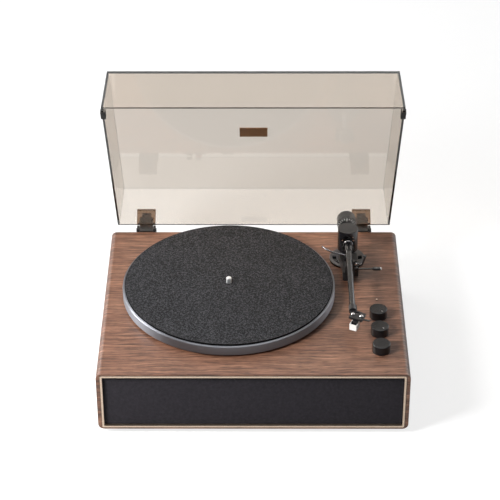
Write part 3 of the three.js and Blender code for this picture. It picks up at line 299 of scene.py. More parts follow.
def walnut_foil():
    """Printed and embossed walnut foil under a satin lacquer: brown with some red in it,
    in wavy streaks along the grain, broken by short dark pores."""
    finish, tree, shader = new_finish("satin_walnut_foil", {
        "Roughness": 0.42, "Specular IOR Level": 0.45, "Coat Weight": 0.12, "Coat Roughness": 0.35})
    sway = add_node(tree, "ShaderNodeTexNoise", {
        "Vector": add_coordinates(tree, "wrap", scale=(9, 22, 1)), "Scale": 1.0})
    sway = add_node(tree, "ShaderNodeVectorMath", {0: sway.outputs["Color"], 1: (-0.5, -0.5, -0.5)})
    sway = add_node(tree, "ShaderNodeVectorMath", {0: sway, 1: (0.006, 0.016, 0)},
                    operation="MULTIPLY")
    waved = add_node(tree, "ShaderNodeVectorMath", {0: sway, 1: add_coordinates(tree, "wrap")})

    def streaks(along, across, detail, rough):
        """Noise drawn out along the grain, in cycles a metre along and across it."""
        scaled = add_node(tree, "ShaderNodeMapping", {"Vector": waved, "Scale": (along, across, 1)})
        return add_node(tree, "ShaderNodeTexNoise", {
            "Vector": scaled, "Scale": 1.0, "Detail": detail, "Roughness": rough})

    boards = streaks(2, 12, 2.0, 0.5)
    figure = streaks(8, 240, 5.0, 0.74)
    fibre = streaks(22, 400, 4.0, 0.75)
    pores = streaks(70, 900, 1.0, 0.5)
    tone = add_node(tree, "ShaderNodeMath", {0: boards, 1: 0.3, 2: figure},
                    operation="MULTIPLY_ADD")
    tone = add_node(tree, "ShaderNodeMath", {0: tone, 1: 0.6, 2: 0.1}, operation="MULTIPLY_ADD")
    colour = add_node(tree, "ShaderNodeValToRGB", {0: tone}, [
        (0.36, "#4C3325"), (0.46, "#6D4B3B"), (0.54, "#86614D"), (0.66, "#A47F68")])
    fine = add_node(tree, "ShaderNodeMapRange", {
        "Value": fibre, "From Min": 0.38, "From Max": 0.62, "To Min": 0.45, "To Max": 1.32})
    open_pores = add_node(tree, "ShaderNodeMapRange", {
        "Value": pores, "From Min": 0.3, "From Max": 0.44, "To Min": 0.45})
    both = add_node(tree, "ShaderNodeMath", {0: fine, 1: open_pores}, operation="MULTIPLY")
    blend_base(tree, shader, 1.0, colour, both, "MULTIPLY")
    add_bump(tree, shader, fibre, 0.35, 0.0002)
    return finish


def wrap_map(piece, box):
    """A UV map in metres that follows the foil: across the top and down the sides by the
    way round the outside, along the depth, and down the front and back faces."""
    mesh = piece.data
    place = np.empty(len(mesh.vertices) * 3, np.float32)
    mesh.vertices.foreach_get("co", place)
    vertex = np.empty(len(mesh.loops), np.int32)
    mesh.loops.foreach_get("vertex_index", vertex)
    x, y, z = place.reshape(-1, 3)[vertex].T
    normal = np.empty(len(mesh.polygons) * 3, np.float32)
    mesh.polygons.foreach_get("normal", normal)
    corners = np.empty(len(mesh.polygons), np.int32)
    mesh.polygons.foreach_get("loop_total", corners)
    upright = np.repeat(np.abs(normal.reshape(-1, 3)[:, 1]) > 0.7, corners)
    drop = box[1][2] - z
    across = np.where(upright, x, x + np.sign(x) * drop)
    along = np.where(upright, y - drop, y)
    layer = mesh.uv_layers.new(name="wrap")
    layer.data.foreach_set("uv", np.stack((across, along), axis=1).astype(np.float32).ravel())


cabinet = dressed("cabinet_shell", walnut_foil(), edge_mm=1.0, rounds=3)
wrap_map(cabinet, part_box("cabinet_shell"))

# The front. A moulded board carries the two speakers behind a stretched black cloth, and a
# champagne aluminium frame pressed into the foil's edge goes round them.
def mottle(tree, shader, noise, *stops, gloss=None, scale=(1, 1, 1)):
    """Noise with these settings picks the base colour between the stops and, where gloss is
    given, the roughness between its two values. The noise is returned, for a bump."""
    cloud = add_node(tree, "ShaderNodeTexNoise", {
        "Vector": add_coordinates(tree, scale=scale), **noise})
    plug(shader, {"Base Color": add_node(tree, "ShaderNodeValToRGB", {0: cloud}, stops)})
    if gloss:
        plug(shader, {"Roughness": add_node(tree, "ShaderNodeMapRange", {
            "Value": cloud, "To Min": gloss[0], "To Max": gloss[1]})})
    return cloud


def champagne_aluminium():
    """Anodised aluminium strip, satin blasted: a pale gold with a soft, even shine."""
    finish, tree, shader = new_finish("champagne_anodised_aluminium", {
        "Metallic": 1.0, "Roughness": 0.42})
    blast = mottle(tree, shader, {"Scale": 900.0}, (0.3, "#BEA791"), (0.7, "#D9C7B5"))
    add_bump(tree, shader, blast, 0.2, 0.0001)
    return finish


def speaker_cloth():
    """Plain-woven acoustic cloth. Its threads lie about 0.8 mm apart, drawn here at 1.6 mm
    so that they still show; it gives a matt charcoal with a faint haze of fibres."""
    finish, tree, shader = new_finish("woven_speaker_cloth", {
        "Roughness": 0.95, "Specular IOR Level": 0.2, "Sheen Weight": 0.12})
    threads = add_node(tree, "ShaderNodeVectorMath", {
        0: add_coordinates(tree), 1: (2 * math.pi / 0.0016,) * 3}, operation="MULTIPLY")
    waves = add_node(tree, "ShaderNodeVectorMath", {0: threads}, operation="SINE")
    axes = add_node(tree, "ShaderNodeSeparateXYZ", {0: waves})
    weave = add_node(tree, "ShaderNodeMath", {0: axes.outputs["X"], 1: axes.outputs["Z"]},
                     operation="MULTIPLY")
    haze = add_node(tree, "ShaderNodeTexNoise", {
        "Vector": add_coordinates(tree), "Scale": 240.0, "Detail": 4.0, "Roughness": 0.7})
    tone = add_node(tree, "ShaderNodeMath", {0: weave, 1: 0.3, 2: haze}, operation="MULTIPLY_ADD")
    plug(shader, {"Base Color": add_node(tree, "ShaderNodeValToRGB", {0: tone}, [
        (0.3, "#1D1B1F"), (0.8, "#332F36")])})
    add_bump(tree, shader, weave, 0.6, 0.0003)
    return finish


def painted_fibreboard():
    """Fibreboard under one coat of matt black: the raised fibres leave it slightly felted."""
    finish, tree, shader = new_finish("black_painted_fibreboard", {"Roughness": 0.85})
    fibres = mottle(tree, shader, {"Scale": 700.0, "Detail": 6.0, "Roughness": 0.75},
                    (0.3, "#1B1A19"), (0.7, "#2B2926"))
    add_bump(tree, shader, fibres, 0.5, 0.0002)
    return finish


def repaint(finish, *nodes):
    """These CAD nodes keep their shape and take this finish."""
    for node in nodes:
        for slot in frame["nodes"][node].material_slots:
            slot.material = finish


dressed("grille_trim", champagne_aluminium(), edge_mm=0.5)
repaint(speaker_cloth(), "grille_cloth")
fibreboard = painted_fibreboard()
repaint(fibreboard, "front_baffle")


# The speakers. Each has a pressed steel basket with its magnet, and a pulp cone with one
# rolled edge that moves in and out.
def satin_black_paint():
    """Stoved black lacquer on metal: near black, with a broad soft highlight and a very
    slight orange peel."""
    finish, tree, shader = new_finish("satin_black_lacquer", {"Specular IOR Level": 0.7})
    mottle(tree, shader, {"Scale": 60.0, "Detail": 4.0}, (0.3, "#111012"), (0.7, "#1A191B"),
           gloss=(0.16, 0.3))
    peel = add_node(tree, "ShaderNodeTexNoise", {"Vector": add_coordinates(tree), "Scale": 850.0})
    add_bump(tree, shader, peel, 0.08, 0.0002)
    return finish


def pulp_cone():
    """Pressed paper pulp, dyed dark grey, with the fibres showing."""
    finish, tree, shader = new_finish("pressed_paper_pulp", {"Roughness": 0.9})
    fibres = mottle(tree, shader, {
        "Scale": 420.0, "Detail": 8.0, "Roughness": 0.8, "Distortion": 1.5},
        (0.3, "#242220"), (0.7, "#3B3733"))
    add_bump(tree, shader, fibres, 0.6, 0.0003)
    return finish


black_paint = satin_black_paint()
repaint(black_paint, "speaker_frame_left", "speaker_frame_right")
repaint(pulp_cone(), "speaker_cone_left", "speaker_cone_right")


# The back. A painted board closes the cabinet and holds a pair of sound outputs and the
# low-voltage inlet, both moulded in black plastic.
def moulded_black_plastic():
    """Moulded ABS, self-coloured black with the fine spark-eroded grain of its mould."""
    finish, tree, shader = new_finish("moulded_black_abs", {"Roughness": 0.4})
    mottle(tree, shader, {"Scale": 70.0, "Detail": 3.0}, (0.3, "#0F0F10"), (0.7, "#19191B"))
    grain = add_node(tree, "ShaderNodeTexNoise", {
        "Vector": add_coordinates(tree), "Scale": 1600.0, "Detail": 3.0})
    add_bump(tree, shader, grain, 0.18, 0.0001)
    return finish


def revolved(name, profile, finish, place, steps=96, **edges):
    """A solid of revolution. The profile is (radius, height) pairs in millimetres, from the
    axis to the axis or closed on itself; it goes round +Z in equal steps, and place is a
    matrix in metres that carries it to its spot. Points on the axis are merged, and edges
    takes skinned's settings for rounding them."""
    radius, height = np.array(profile, dtype=float).T / 1000
    turn = np.linspace(0, 2 * math.pi, steps, endpoint=False)
    grid = np.stack((np.outer(radius, np.cos(turn)), np.outer(radius, np.sin(turn)),
                     np.repeat(height[:, None], steps, axis=1)), axis=-1)
    return skinned(name, grid, finish, place, **edges)


def skinned(name, grid, finish, place, edge_mm=0.0, rounds=2, limit_deg=35, caps=False):
    """A mesh over a grid of points, carried to its spot by place: each row joins the next and
    closes on itself. With caps, the first and last rows are closed by flat faces."""
    rows, columns = grid.shape[:2]
    place = np.array(place)
    points = grid.reshape(-1, 3) @ place[:3, :3].T + place[:3, 3]
    row, column = np.meshgrid(np.arange(rows - 1), np.arange(columns), indexing="ij")
    after = (column + 1) % columns
    quads = np.stack((row * columns + column, row * columns + after, (row + 1) * columns + after,
                      (row + 1) * columns + column), axis=-1).reshape(-1, 4)
    faces = quads.tolist()
    if caps:
        faces += [list(range(columns))[::-1], list(range((rows - 1) * columns, rows * columns))]
    mesh = bpy.data.meshes.new(name)
    mesh.from_pydata(points.tolist(), [], faces)
    merged = bmesh.new()
    merged.from_mesh(mesh)
    bmesh.ops.remove_doubles(merged, verts=merged.verts, dist=1e-7)
    bmesh.ops.recalc_face_normals(merged, faces=merged.faces)
    merged.to_mesh(mesh)
    merged.free()
    mesh.materials.append(finish)
    mesh.shade_smooth()
    piece = bpy.data.objects.new(name, mesh)
    bpy.context.scene.collection.objects.link(piece)
    if edge_mm:
        round_edges(piece, edge_mm, rounds, limit_deg)
    return piece


def along_y(x, y, z):
    """The matrix that lays +Z of a profile along +Y, with its foot at (x, y, z)."""
    return Matrix.Translation((x, y, z)) @ Matrix.Rotation(-math.pi / 2, 4, "X")


def upright_at(x, y, z=0.0):
    """The matrix that stands +Z of a profile upright, with its foot at (x, y, z)."""
    return Matrix.Translation((x, y, z))


def middle(node):
    """The middle of a CAD node's box in plan, in metres."""
    low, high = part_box(node)
    return ((low + high) / 2)[:2]


def heights(node):
    """The underside and the top of a CAD node, in millimetres."""
    low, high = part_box(node)
    return low[2] * 1000, high[2] * 1000


def tinted(tree, shader, code, cloud, darkest, lightest):
    """The base colour is this code, multiplied by noise between darkest and lightest."""
    share = add_node(tree, "ShaderNodeMapRange", {
        "Value": cloud, "To Min": darkest, "To Max": lightest})
    blend_base(tree, shader, 1.0, linear(code), share, "MULTIPLY")


def coloured_collar(code, name):
    """Dyed polythene, moulded smooth, that tells one channel from the other."""
    finish, tree, shader = new_finish(name, {"Roughness": 0.35})
    cloud = add_node(tree, "ShaderNodeTexNoise", {"Vector": add_coordinates(tree), "Scale": 500.0})
    tinted(tree, shader, code, cloud, 0.9, 1.05)
    return finish


black_plastic = moulded_black_plastic()
dressed("rear_panel", fibreboard, edge_mm=0.5)
dressed("sound_output_sockets", black_plastic, edge_mm=0.3)
dressed("power_inlet", black_plastic, edge_mm=0.3)
COLLAR_PROFILE = [(4.25, -7.2), (5.1, -7.2), (5.1, -4.6), (4.25, -4.6), (4.25, -7.2)]
SOCKET_FROM_MIDDLE = 0.007
low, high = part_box("sound_output_sockets")
socket_x, _, socket_z = (low + high) / 2
for side, code, dye in ((-1, "#E9E7E2", "white"), (1, "#B3201C", "red")):
    collar = revolved(
        f"socket_collar_{dye}", COLLAR_PROFILE, coloured_collar(code, f"{dye}_polythene"),
        along_y(socket_x + side * SOCKET_FROM_MIDDLE, high[1], socket_z), steps=48, edge_mm=0.2)
    attach(collar, "cabinet")


# The knobs. Each is a black plastic cap over a plain steel shaft, with a slightly hollow
# top, a polished edge and, on two of them, a white line let into the top as a pointer.
def polished_black_plastic():
    """Black ABS, polished: nearly a black mirror, broken by faint moulding haze."""
    finish, tree, shader = new_finish("polished_black_abs", {"Specular IOR Level": 0.45})
    mottle(tree, shader, {"Scale": 120.0, "Detail": 4.0}, (0.3, "#151516"), (0.7, "#1C1C1E"),
           gloss=(0.12, 0.24))
    return finish


def turned_steel(name="turned_steel", code="#C9CACC", rings=(40, 40, 2500), rough=(0.16, 0.3)):
    """Steel left bright from the lathe, with the tool's fine rings round it: rings is how
    fast they change along each axis, fastest along the axis it was turned about."""
    finish, tree, shader = new_finish(name, {"Metallic": 1.0})
    rings = add_node(tree, "ShaderNodeTexNoise", {
        "Vector": add_coordinates(tree, scale=rings), "Scale": 1.0})
    plug(shader, {"Roughness": add_node(tree, "ShaderNodeMapRange", {
        "Value": rings, "To Min": rough[0], "To Max": rough[1]})})
    tinted(tree, shader, code, rings, 0.8, 1.0)
    return finish


def white_inlay():
    """A line of white enamel, wiped into its groove."""
    finish, tree, shader = new_finish("white_enamel_inlay", {"Roughness": 0.35})
    mottle(tree, shader, {"Scale": 900.0}, (0.3, "#C9C7C3"), (0.7, "#F1EFEB"))
    return finish


def slab(name, width, length, height, finish, place, corner_mm):
    """A small bar with rounded ends in plan: a superellipse outline, power four, carried up
    from its underside, with its top ring drawn in by the corner. Sizes in millimetres."""
    turn = np.linspace(0, 2 * math.pi, 48, endpoint=False)
    out_x = np.sign(np.cos(turn)) * np.abs(np.cos(turn)) ** 0.5
    out_y = np.sign(np.sin(turn)) * np.abs(np.sin(turn)) ** 0.5
    rise = np.array((0.0, 1.0 - corner_mm / height, 1.0 - 0.3 * corner_mm / height, 1.0)) * height
    inset = np.array((0.0, 0.0, 0.3, 1.0)) * corner_mm
    grid = np.stack((np.outer(width / 2 - inset, out_x), np.outer(length / 2 - inset, out_y),
                     np.repeat(rise[:, None], 48, axis=1)), axis=-1) / 1000
    return skinned(name, grid, finish, place, caps=True)


KNOB_RADIUS = 12.25
KNOB_SKIRT = 13.0
KNOB_EDGE = 1.1
KNOB_HOLLOW = 0.35
POINTER_TURN = math.radians(-140)
quarter = np.linspace(0, math.pi / 2, 7)
knob_plastic = polished_black_plastic()
steel = turned_steel()
inlay = white_inlay()
repaint(steel, "volume_control", "source_control", "speed_control")
for control in ("volume", "source", "speed"):
    bottom, top = heights(f"{control}_knob")
    skirt = top - KNOB_SKIRT
    stand = upright_at(*middle(f"{control}_knob"))
    knob = revolved(f"{control}_knob_cap", [
        (0, bottom), (3, bottom), (3, skirt + 2.1), (5.5, skirt + 2.1), (5.5, top - 3.5),
        (9.75, top - 3.5), (9.75, skirt), (KNOB_RADIUS, skirt)]
        + np.stack((KNOB_RADIUS - KNOB_EDGE + KNOB_EDGE * np.cos(quarter),
                    top - KNOB_EDGE + KNOB_EDGE * np.sin(quarter)), axis=1).tolist()
        + [(KNOB_RADIUS - 2, top - 0.12), (7, top - KNOB_HOLLOW * 0.75), (0, top - KNOB_HOLLOW)],
        knob_plastic, stand, steps=128, edge_mm=0.25, limit_deg=25)
    settle(knob, f"{control}_knob")
    if control != "volume":
        pointer = slab(f"{control}_knob_pointer", 0.6, 2.4, 0.3, inlay, stand
                       @ Matrix.Rotation(POINTER_TURN, 4, "Z")
                       @ Matrix.Translation((0, 0.0072, top / 1000 - 0.00042)), corner_mm=0.1)
        attach(pointer, control)


# The amplifier under the deck: a board with the parts soldered under it, and the lamp whose
# frosted lens comes up through the foil.
def circuit_board():
    """Glass-fibre board under green solder mask: the copper tracks show through paler."""
    finish, tree, shader = new_finish("green_circuit_board", {"Roughness": 0.3})
    tracks = add_node(tree, "ShaderNodeTexBrick", {
        "Vector": add_coordinates(tree, scale=(1, 1, 0)), "Color1": linear("#1E5233"),
        "Color2": linear("#184529"), "Mortar": linear("#3F8055"), "Scale": 60.0,
        "Mortar Size": 0.03})
    plug(shader, {"Base Color": tracks})
    add_bump(tree, shader, tracks.outputs[1], 0.3, 0.0001)
    return finish


def frosted_lens():
    """A moulded acrylic light guide: unlit, its frosted end faintly warm, with painted shade
    darkening it toward its rim, where it sinks into the foil."""
    finish, tree, shader = new_finish("frosted_acrylic_lens", {
        "Roughness": 0.3, "Subsurface Weight": 0.4, "Subsurface Radius": (0.002, 0.0015, 0.001)})
    out = add_node(tree, "ShaderNodeMapRange", {
        "Value": distance_from(tree, LAMP_X, LAMP_Y), "From Max": LENS_RADIUS / 1000})
    # Painted shade: the colour darkens toward the rim, where the lens sinks into the foil.
    plug(shader, {"Base Color": add_node(tree, "ShaderNodeValToRGB", {0: out}, [
        (0.0, "#FBEAE2"), (0.55, "#E8CFC2"), (0.8, "#4A3A33")])})
    return finish


repaint(circuit_board(), "amplifier_board")
LENS_RADIUS = 1.8
LENS_RISE = 1.2
LAMP_X, LAMP_Y = middle("power_lamp")
bottom, top = heights("power_lamp")
dome = np.linspace(0, math.pi / 2, 9)
lens = revolved("power_lamp_lens", [(0, bottom), (LENS_RADIUS, bottom)] + np.stack((
    LENS_RADIUS * np.cos(dome), top + LENS_RISE * (np.sin(dome) - 1)), axis=1).tolist(),
    frosted_lens(), upright_at(LAMP_X, LAMP_Y), steps=48)
settle(lens, "power_lamp")


# The feet. Turned rubber, screwed up into the bottom of the cabinet through a deep recess.
def black_rubber():
    """Moulded rubber: dull black, a little grey where it has bloomed."""
    finish, tree, shader = new_finish("moulded_black_rubber", {"Roughness": 0.75})
    bloom = mottle(tree, shader, {"Scale": 180.0, "Detail": 5.0, "Roughness": 0.7},
                   (0.35, "#141414"), (0.75, "#232323"))
    add_bump(tree, shader, bloom, 0.3, 0.0001)
    return finish


FOOT_PROFILE = [(0, 4), (4, 4), (4, 0), (13, 0), (13.4, 1.8), (14.2, 5.2), (15, 8.7), (0, 8.7)]
rubber = black_rubber()
for corner in ("front_left", "rear_left", "front_right", "rear_right"):
    foot = revolved(f"foot_{corner}_turned", FOOT_PROFILE, rubber, upright_at(
        *middle(f"foot_{corner}"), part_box(f"foot_{corner}")[0][2]), edge_mm=0.8, rounds=3)
    settle(foot, f"foot_{corner}")


# The drive. A motor hung under the deck turns a small steel pulley, and a flat rubber belt
# takes its turning to the ring under the platter, which spins in a deep bearing.
repaint(steel, "bearing_housing", "motor")
repaint(rubber, "drive_belt")
bottom, top = heights("motor_pulley")
pulley = revolved("motor_pulley_turned", [
    (0, bottom), (1, bottom), (1, top - 8.6), (8.6, top - 8.6), (8.6, top - 7.6), (6.5, top - 7.6),
    (6.5, top - 1), (8.6, top - 1), (8.6, top), (0, top)],
    steel, upright_at(*middle("motor_pulley")), steps=64, edge_mm=0.15)
settle(pulley, "motor_pulley")


# The platter. Cast aluminium, turned all over and anodised dark, with a deep rim whose satin
# side mirrors the window as a long pale patch.
def shine_upright(tree, shader):
    """Rings turned round the platter's axis draw each shine out along it, across them."""
    around = add_node(tree, "ShaderNodeVectorMath", {
        0: (0, 0, 1), 1: add_coordinates(tree, offset=(-PLATTER_X, -PLATTER_Y, 0))},
        operation="CROSS_PRODUCT")
    around = add_node(tree, "ShaderNodeVectorTransform", {"Vector": around},
                      vector_type="VECTOR", convert_from="OBJECT", convert_to="WORLD")
    plug(shader, {"Tangent": around, "Anisotropic": 0.85, "Anisotropic Rotation": 0.25})


def anodised_platter():
    """Dark anodised aluminium, satin turned: the tool's rings, 0.3 mm apart, run round its
    side and draw every shine out upright across them, silver toward the window."""
    finish, tree, shader = new_finish("dark_anodised_aluminium", {"Metallic": 1.0})
    rings = add_node(tree, "ShaderNodeTexNoise", {
        "Vector": add_coordinates(tree, scale=(6, 6, 2800)), "Scale": 1.0, "Detail": 3.0})
    blend_base(tree, shader, rings, linear("#7C7E84"), linear("#909298"))
    plug(shader, {"Roughness": add_node(tree, "ShaderNodeMapRange", {
        "Value": rings, "To Min": 0.42, "To Max": 0.52})})
    shine_upright(tree, shader)
    return finish


def speckled_mat():
    """A slip mat pressed from cork and rubber crumb: charcoal, with grains about 2 mm across and
    short pale scuffs, and broad faint smudges where records have lain. Its side and rounded rim
    carry painted shade, near black, beside the platter's edge."""
    finish, tree, shader = new_finish("rubber_cork_mat", {
        "Roughness": 0.9, "Specular IOR Level": 0.12})
    grains = add_node(tree, "ShaderNodeTexNoise", {
        "Vector": add_coordinates(tree), "Scale": 480.0, "Detail": 3.0, "Roughness": 0.8})
    scuffs = add_node(tree, "ShaderNodeTexNoise", {
        "Vector": add_coordinates(tree), "Scale": 75.0, "Detail": 3.0, "Roughness": 0.75,
        "Distortion": 2.5})
    ridge = add_node(tree, "ShaderNodeMath", {0: scuffs, 1: 0.5}, operation="SUBTRACT")
    ridge = add_node(tree, "ShaderNodeMath", {0: ridge}, operation="ABSOLUTE")
    ridge = add_node(tree, "ShaderNodeMapRange", {
        "Value": ridge, "From Max": 0.012, "To Min": 0.1, "To Max": 0.0})
    smudge = add_node(tree, "ShaderNodeTexNoise", {
        "Vector": add_coordinates(tree), "Scale": 22.0, "Detail": 4.0})
    tone = add_node(tree, "ShaderNodeMath", {0: smudge, 1: 0.05, 2: grains},
                    operation="MULTIPLY_ADD")
    tone = add_node(tree, "ShaderNodeMath", {0: tone, 1: ridge}, operation="ADD")
    colour = add_node(tree, "ShaderNodeValToRGB", {0: tone}, [
        (0.4, "#121214"), (0.54, "#242426"), (0.7, "#4A4B4E")])
    # Painted shade: past this radius the mat's side and rim are painted near black.
    edge = add_node(tree, "ShaderNodeMath", {
        0: distance_from(tree, PLATTER_X, PLATTER_Y), 1: MAT_PAINTED_SHADE_FROM}, operation="GREATER_THAN")
    blend_base(tree, shader, edge, colour, linear("#060606"))
    add_bump(tree, shader, grains, 0.7, 0.0005)
    return finish


def chrome():
    """Polished chromium plate: a cool bright mirror with the faintest haze."""
    finish, tree, shader = new_finish("polished_chrome", {"Metallic": 1.0})
    mottle(tree, shader, {"Scale": 400.0, "Detail": 3.0}, (0.3, "#DADBDD"), (0.7, "#ECECEE"),
           gloss=(0.05, 0.14))
    return finish


# The radius past which the mat's rim is painted with shade.
MAT_PAINTED_SHADE_FROM = 0.1452
PLATTER_X, PLATTER_Y = middle("platter")
bottom, top = heights("platter")
platter = revolved("platter_turned", [
    (3.9, bottom + 2), (12, bottom + 2), (12, top - 3), (60, top - 3), (60, bottom + 1),
    (63, bottom + 1), (63, top - 3), (146, top - 3), (146, bottom), (148.2, bottom),
    (149, bottom + 0.8), (149, top - 0.9), (148.1, top), (3.9, top), (3.9, bottom + 2)],
    anodised_platter(), upright_at(PLATTER_X, PLATTER_Y), steps=256, edge_mm=0.25, limit_deg=25)
settle(platter, "platter")
bottom, top = heights("platter_mat")
mat = revolved("platter_mat_cut", [
    (3.9, bottom), (146, bottom), (146, top - 0.5), (145.4, top), (3.9, top), (3.9, bottom)],
    speckled_mat(), upright_at(PLATTER_X, PLATTER_Y), steps=256, edge_mm=0.2, limit_deg=25)
settle(mat, "platter_mat")
crown = np.linspace(0.0, math.pi / 2, 12)
bottom, tip = heights("spindle")
collar = heights("platter")[0] + 1.7
bright_chrome = chrome()
spindle_steel = turned_steel("turned_spindle_steel", "#EDEEF0", rough=(0.42, 0.5))
shine_upright(spindle_steel.node_tree, spindle_steel.node_tree.nodes["Principled BSDF"])
spindle = revolved("spindle_turned", [
    (0, bottom), (3.6, bottom), (3.6, collar - 1.5), (7, collar - 1.5), (7, collar), (3.6, collar)]
    + np.stack((3.6 * np.cos(crown), tip - 2.4 + 2.4 * np.sin(crown)), axis=1).tolist(),
    spindle_steel, upright_at(PLATTER_X, PLATTER_Y), steps=64)
round_edges(spindle, 0.2, 2, 50)
settle(spindle, "spindle")


# The tone arm's stand. A low round base is let into the deck, with two crescents sunk in its
# top, and a squat housing turns on it: an arch runs through it from front to back.
def carved(piece, *tools):
    """The piece with the tools' solids cut out of it, and the tools done away with. Edges
    sharper than 35 degrees stay sharp in its shading."""
    for tool in tools:
        cut = piece.modifiers.new("cut", "BOOLEAN")
        cut.operation = "DIFFERENCE"
        cut.solver = "EXACT"
        cut.object = tool
    bpy.context.view_layer.update()
    blank = piece.data
    piece.data = bpy.data.meshes.new_from_object(
        piece.evaluated_get(bpy.context.evaluated_depsgraph_get()))
    piece.modifiers.clear()
    piece.data.name = blank.name + "_cut"
    piece.data.set_sharp_from_angle(angle=math.radians(35))
    bpy.data.meshes.remove(blank)
    for tool in tools:
        shape = tool.data
        bpy.data.objects.remove(tool)
        bpy.data.meshes.remove(shape)
    return piece


def crescent(start_deg, end_deg, inner, outer, low, high, finish):
    """A solid between two radii and two angles, in millimetres, about the arm's stand."""
    turn = np.radians(np.linspace(start_deg, end_deg, 40))
    way = np.stack((np.cos(turn), np.sin(turn)), axis=1)
    ring = np.concatenate((outer * way, inner * way[::-1]))
    grid = np.stack([np.column_stack((ring, np.full(len(ring), height)))
                     for height in (low, high)]) / 1000
    return skinned("crescent_tool", grid, finish, ARM_STAND, caps=True)


def arch_section(half, floor, crown):
    """The outline of an upright opening with a round top, as (x, z) in millimetres."""
    turn = np.linspace(0, math.pi, 32)
    head = np.stack((half * np.cos(turn), crown - half + half * np.sin(turn)), axis=1)
    return np.concatenate(([(half, floor)], head, [(-half, floor)]))


def gloss_black_lacquer():
    """Black lacquer rubbed up to a gloss: lamps show on it as narrow soft lines."""
    finish, tree, shader = new_finish("gloss_black_lacquer", {"Specular IOR Level": 0.7})
    mottle(tree, shader, {"Scale": 90.0, "Detail": 5.0}, (0.3, "#101011"), (0.7, "#171718"),
           gloss=(0.1, 0.2))
    return finish


def black_abs_with_painted_low_shade():
    """Black ABS with a satin top, and a polished, darker black wherever the mould goes 1 mm or more
    below it: the height in the piece tells the two apart. The darkening below that height is partly
    painted shade, in the sunk crescents and down the side of the disc."""
    finish, tree, shader = new_finish("black_abs_gloss_and_painted_shade_below", {"Specular IOR Level": 0.6})
    axes = add_node(tree, "ShaderNodeSeparateXYZ", {0: add_coordinates(tree)})
    # Painted shade in part: everything below this height, the sunk crescents and the disc's lower
    # side, is coloured near black.
    level = add_node(tree, "ShaderNodeMapRange", {
        "Value": axes.outputs["Z"], "From Min": DECK + 0.0022, "From Max": DECK + 0.0034})
    grain = add_node(tree, "ShaderNodeTexNoise", {
        "Vector": add_coordinates(tree), "Scale": 500.0, "Detail": 3.0})
    tone = add_node(tree, "ShaderNodeMath", {0: grain, 1: 0.2, 2: level}, operation="MULTIPLY_ADD")
    plug(shader, {
        "Base Color": add_node(tree, "ShaderNodeValToRGB", {0: tone}, [
            (0.1, "#0B0B0C"), (1.0, "#323134")]),
        "Roughness": add_node(tree, "ShaderNodeMapRange", {
            "Value": level, "To Min": 0.1, "To Max": 0.3})})
    return finish


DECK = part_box("cabinet_shell")[1][2]
ARM_X, ARM_Y = middle("arm_base")
ARM_HEIGHT = 0.0355
ARM_STAND = upright_at(ARM_X, ARM_Y, DECK)
base_plastic = black_abs_with_painted_low_shade()
base = carved(
    revolved("arm_base_moulded", [
        (0, -20), (8, -20), (8, 0.3), (25.6, 0.3), (25.6, 3.5), (25.1, 4.4), (24.1, 5), (12, 5),
        (12, 19.7), (4.3, 19.7), (4.3, -14.3), (0, -14.3)], base_plastic, ARM_STAND, steps=128),
    crescent(-66, 8, 15.5, 21.5, 2, 6, base_plastic),
    crescent(172, 246, 15.5, 21.5, 2, 6, base_plastic))
round_edges(base, 0.2, 2, 40)
settle(base, "arm_base")

section = arch_section(8.9, 24, 50)
tunnel = np.stack([np.insert(section, 1, y, axis=1) for y in (-16, 16)]) / 1000
passage = skinned("arch_tool", tunnel, black_paint, ARM_STAND, caps=True)
housing = carved(
    revolved("pivot_housing_turned", [
        (0, -14), (4, -14), (4, 20), (14.5, 20), (14.5, 53.7), (14.27, 54.27), (13.7, 54.5),
        (0, 54.5)], black_paint, ARM_STAND, steps=128), passage)
round_edges(housing, 0.3, 2, 40)
settle(housing, "pivot_housing")
bright_pin = turned_steel("pivot_steel", "#7C7D82", rings=(2500, 40, 40))
for side in ("left", "right"):
    dressed(f"pivot_pin_{side}", bright_pin, edge_mm=0.2)


# The parts that lift. A steel hub swings between the two pins; the lacquered tube is pushed
# over its front, and a rod at its back carries the dial and the sliding weight.
def dial_plastic():
    """Black plastic dial with a white line every 18 degrees and a long one at each quarter,
    printed on its front face about the arm's axis."""
    finish, tree, shader = new_finish("printed_scale_dial", {"Roughness": 0.38})
    axes = add_node(tree, "ShaderNodeSeparateXYZ", {0: add_coordinates(
        tree, offset=(-ARM_X, 0, -(DECK + ARM_HEIGHT)))})
    turn = add_node(tree, "ShaderNodeMath", {0: axes.outputs["X"], 1: axes.outputs["Z"]},
                    operation="ARCTAN2")
    reach = distance_from(tree, x=ARM_X, z=DECK + ARM_HEIGHT, along=1)

    def near_line(step_deg, width_mm, inner, outer):
        """One on a line from inner to outer, repeated every step_deg, and zero off it."""
        step = math.radians(step_deg)
        off = add_node(tree, "ShaderNodeMath", {0: turn, 1: step / 2}, operation="PINGPONG")
        far = add_node(tree, "ShaderNodeMath", {0: off, 1: reach}, operation="MULTIPLY")
        thin = add_node(tree, "ShaderNodeMath", {0: far, 1: width_mm / 2000}, operation="LESS_THAN")
        begun = add_node(tree, "ShaderNodeMath", {0: reach, 1: inner / 1000},
                         operation="GREATER_THAN")
        ended = add_node(tree, "ShaderNodeMath", {0: reach, 1: outer / 1000}, operation="LESS_THAN")
        both = add_node(tree, "ShaderNodeMath", {0: begun, 1: ended}, operation="MULTIPLY")
        return add_node(tree, "ShaderNodeMath", {0: both, 1: thin}, operation="MULTIPLY")

    marks = add_node(tree, "ShaderNodeMath", {
        0: near_line(18, 0.9, 9.8, 12.8), 1: near_line(90, 1.1, 7.6, 12.8)}, operation="MAXIMUM")
    blend_base(tree, shader, marks, linear("#1A1A1B"), linear("#E4E2DE"))
    return finish


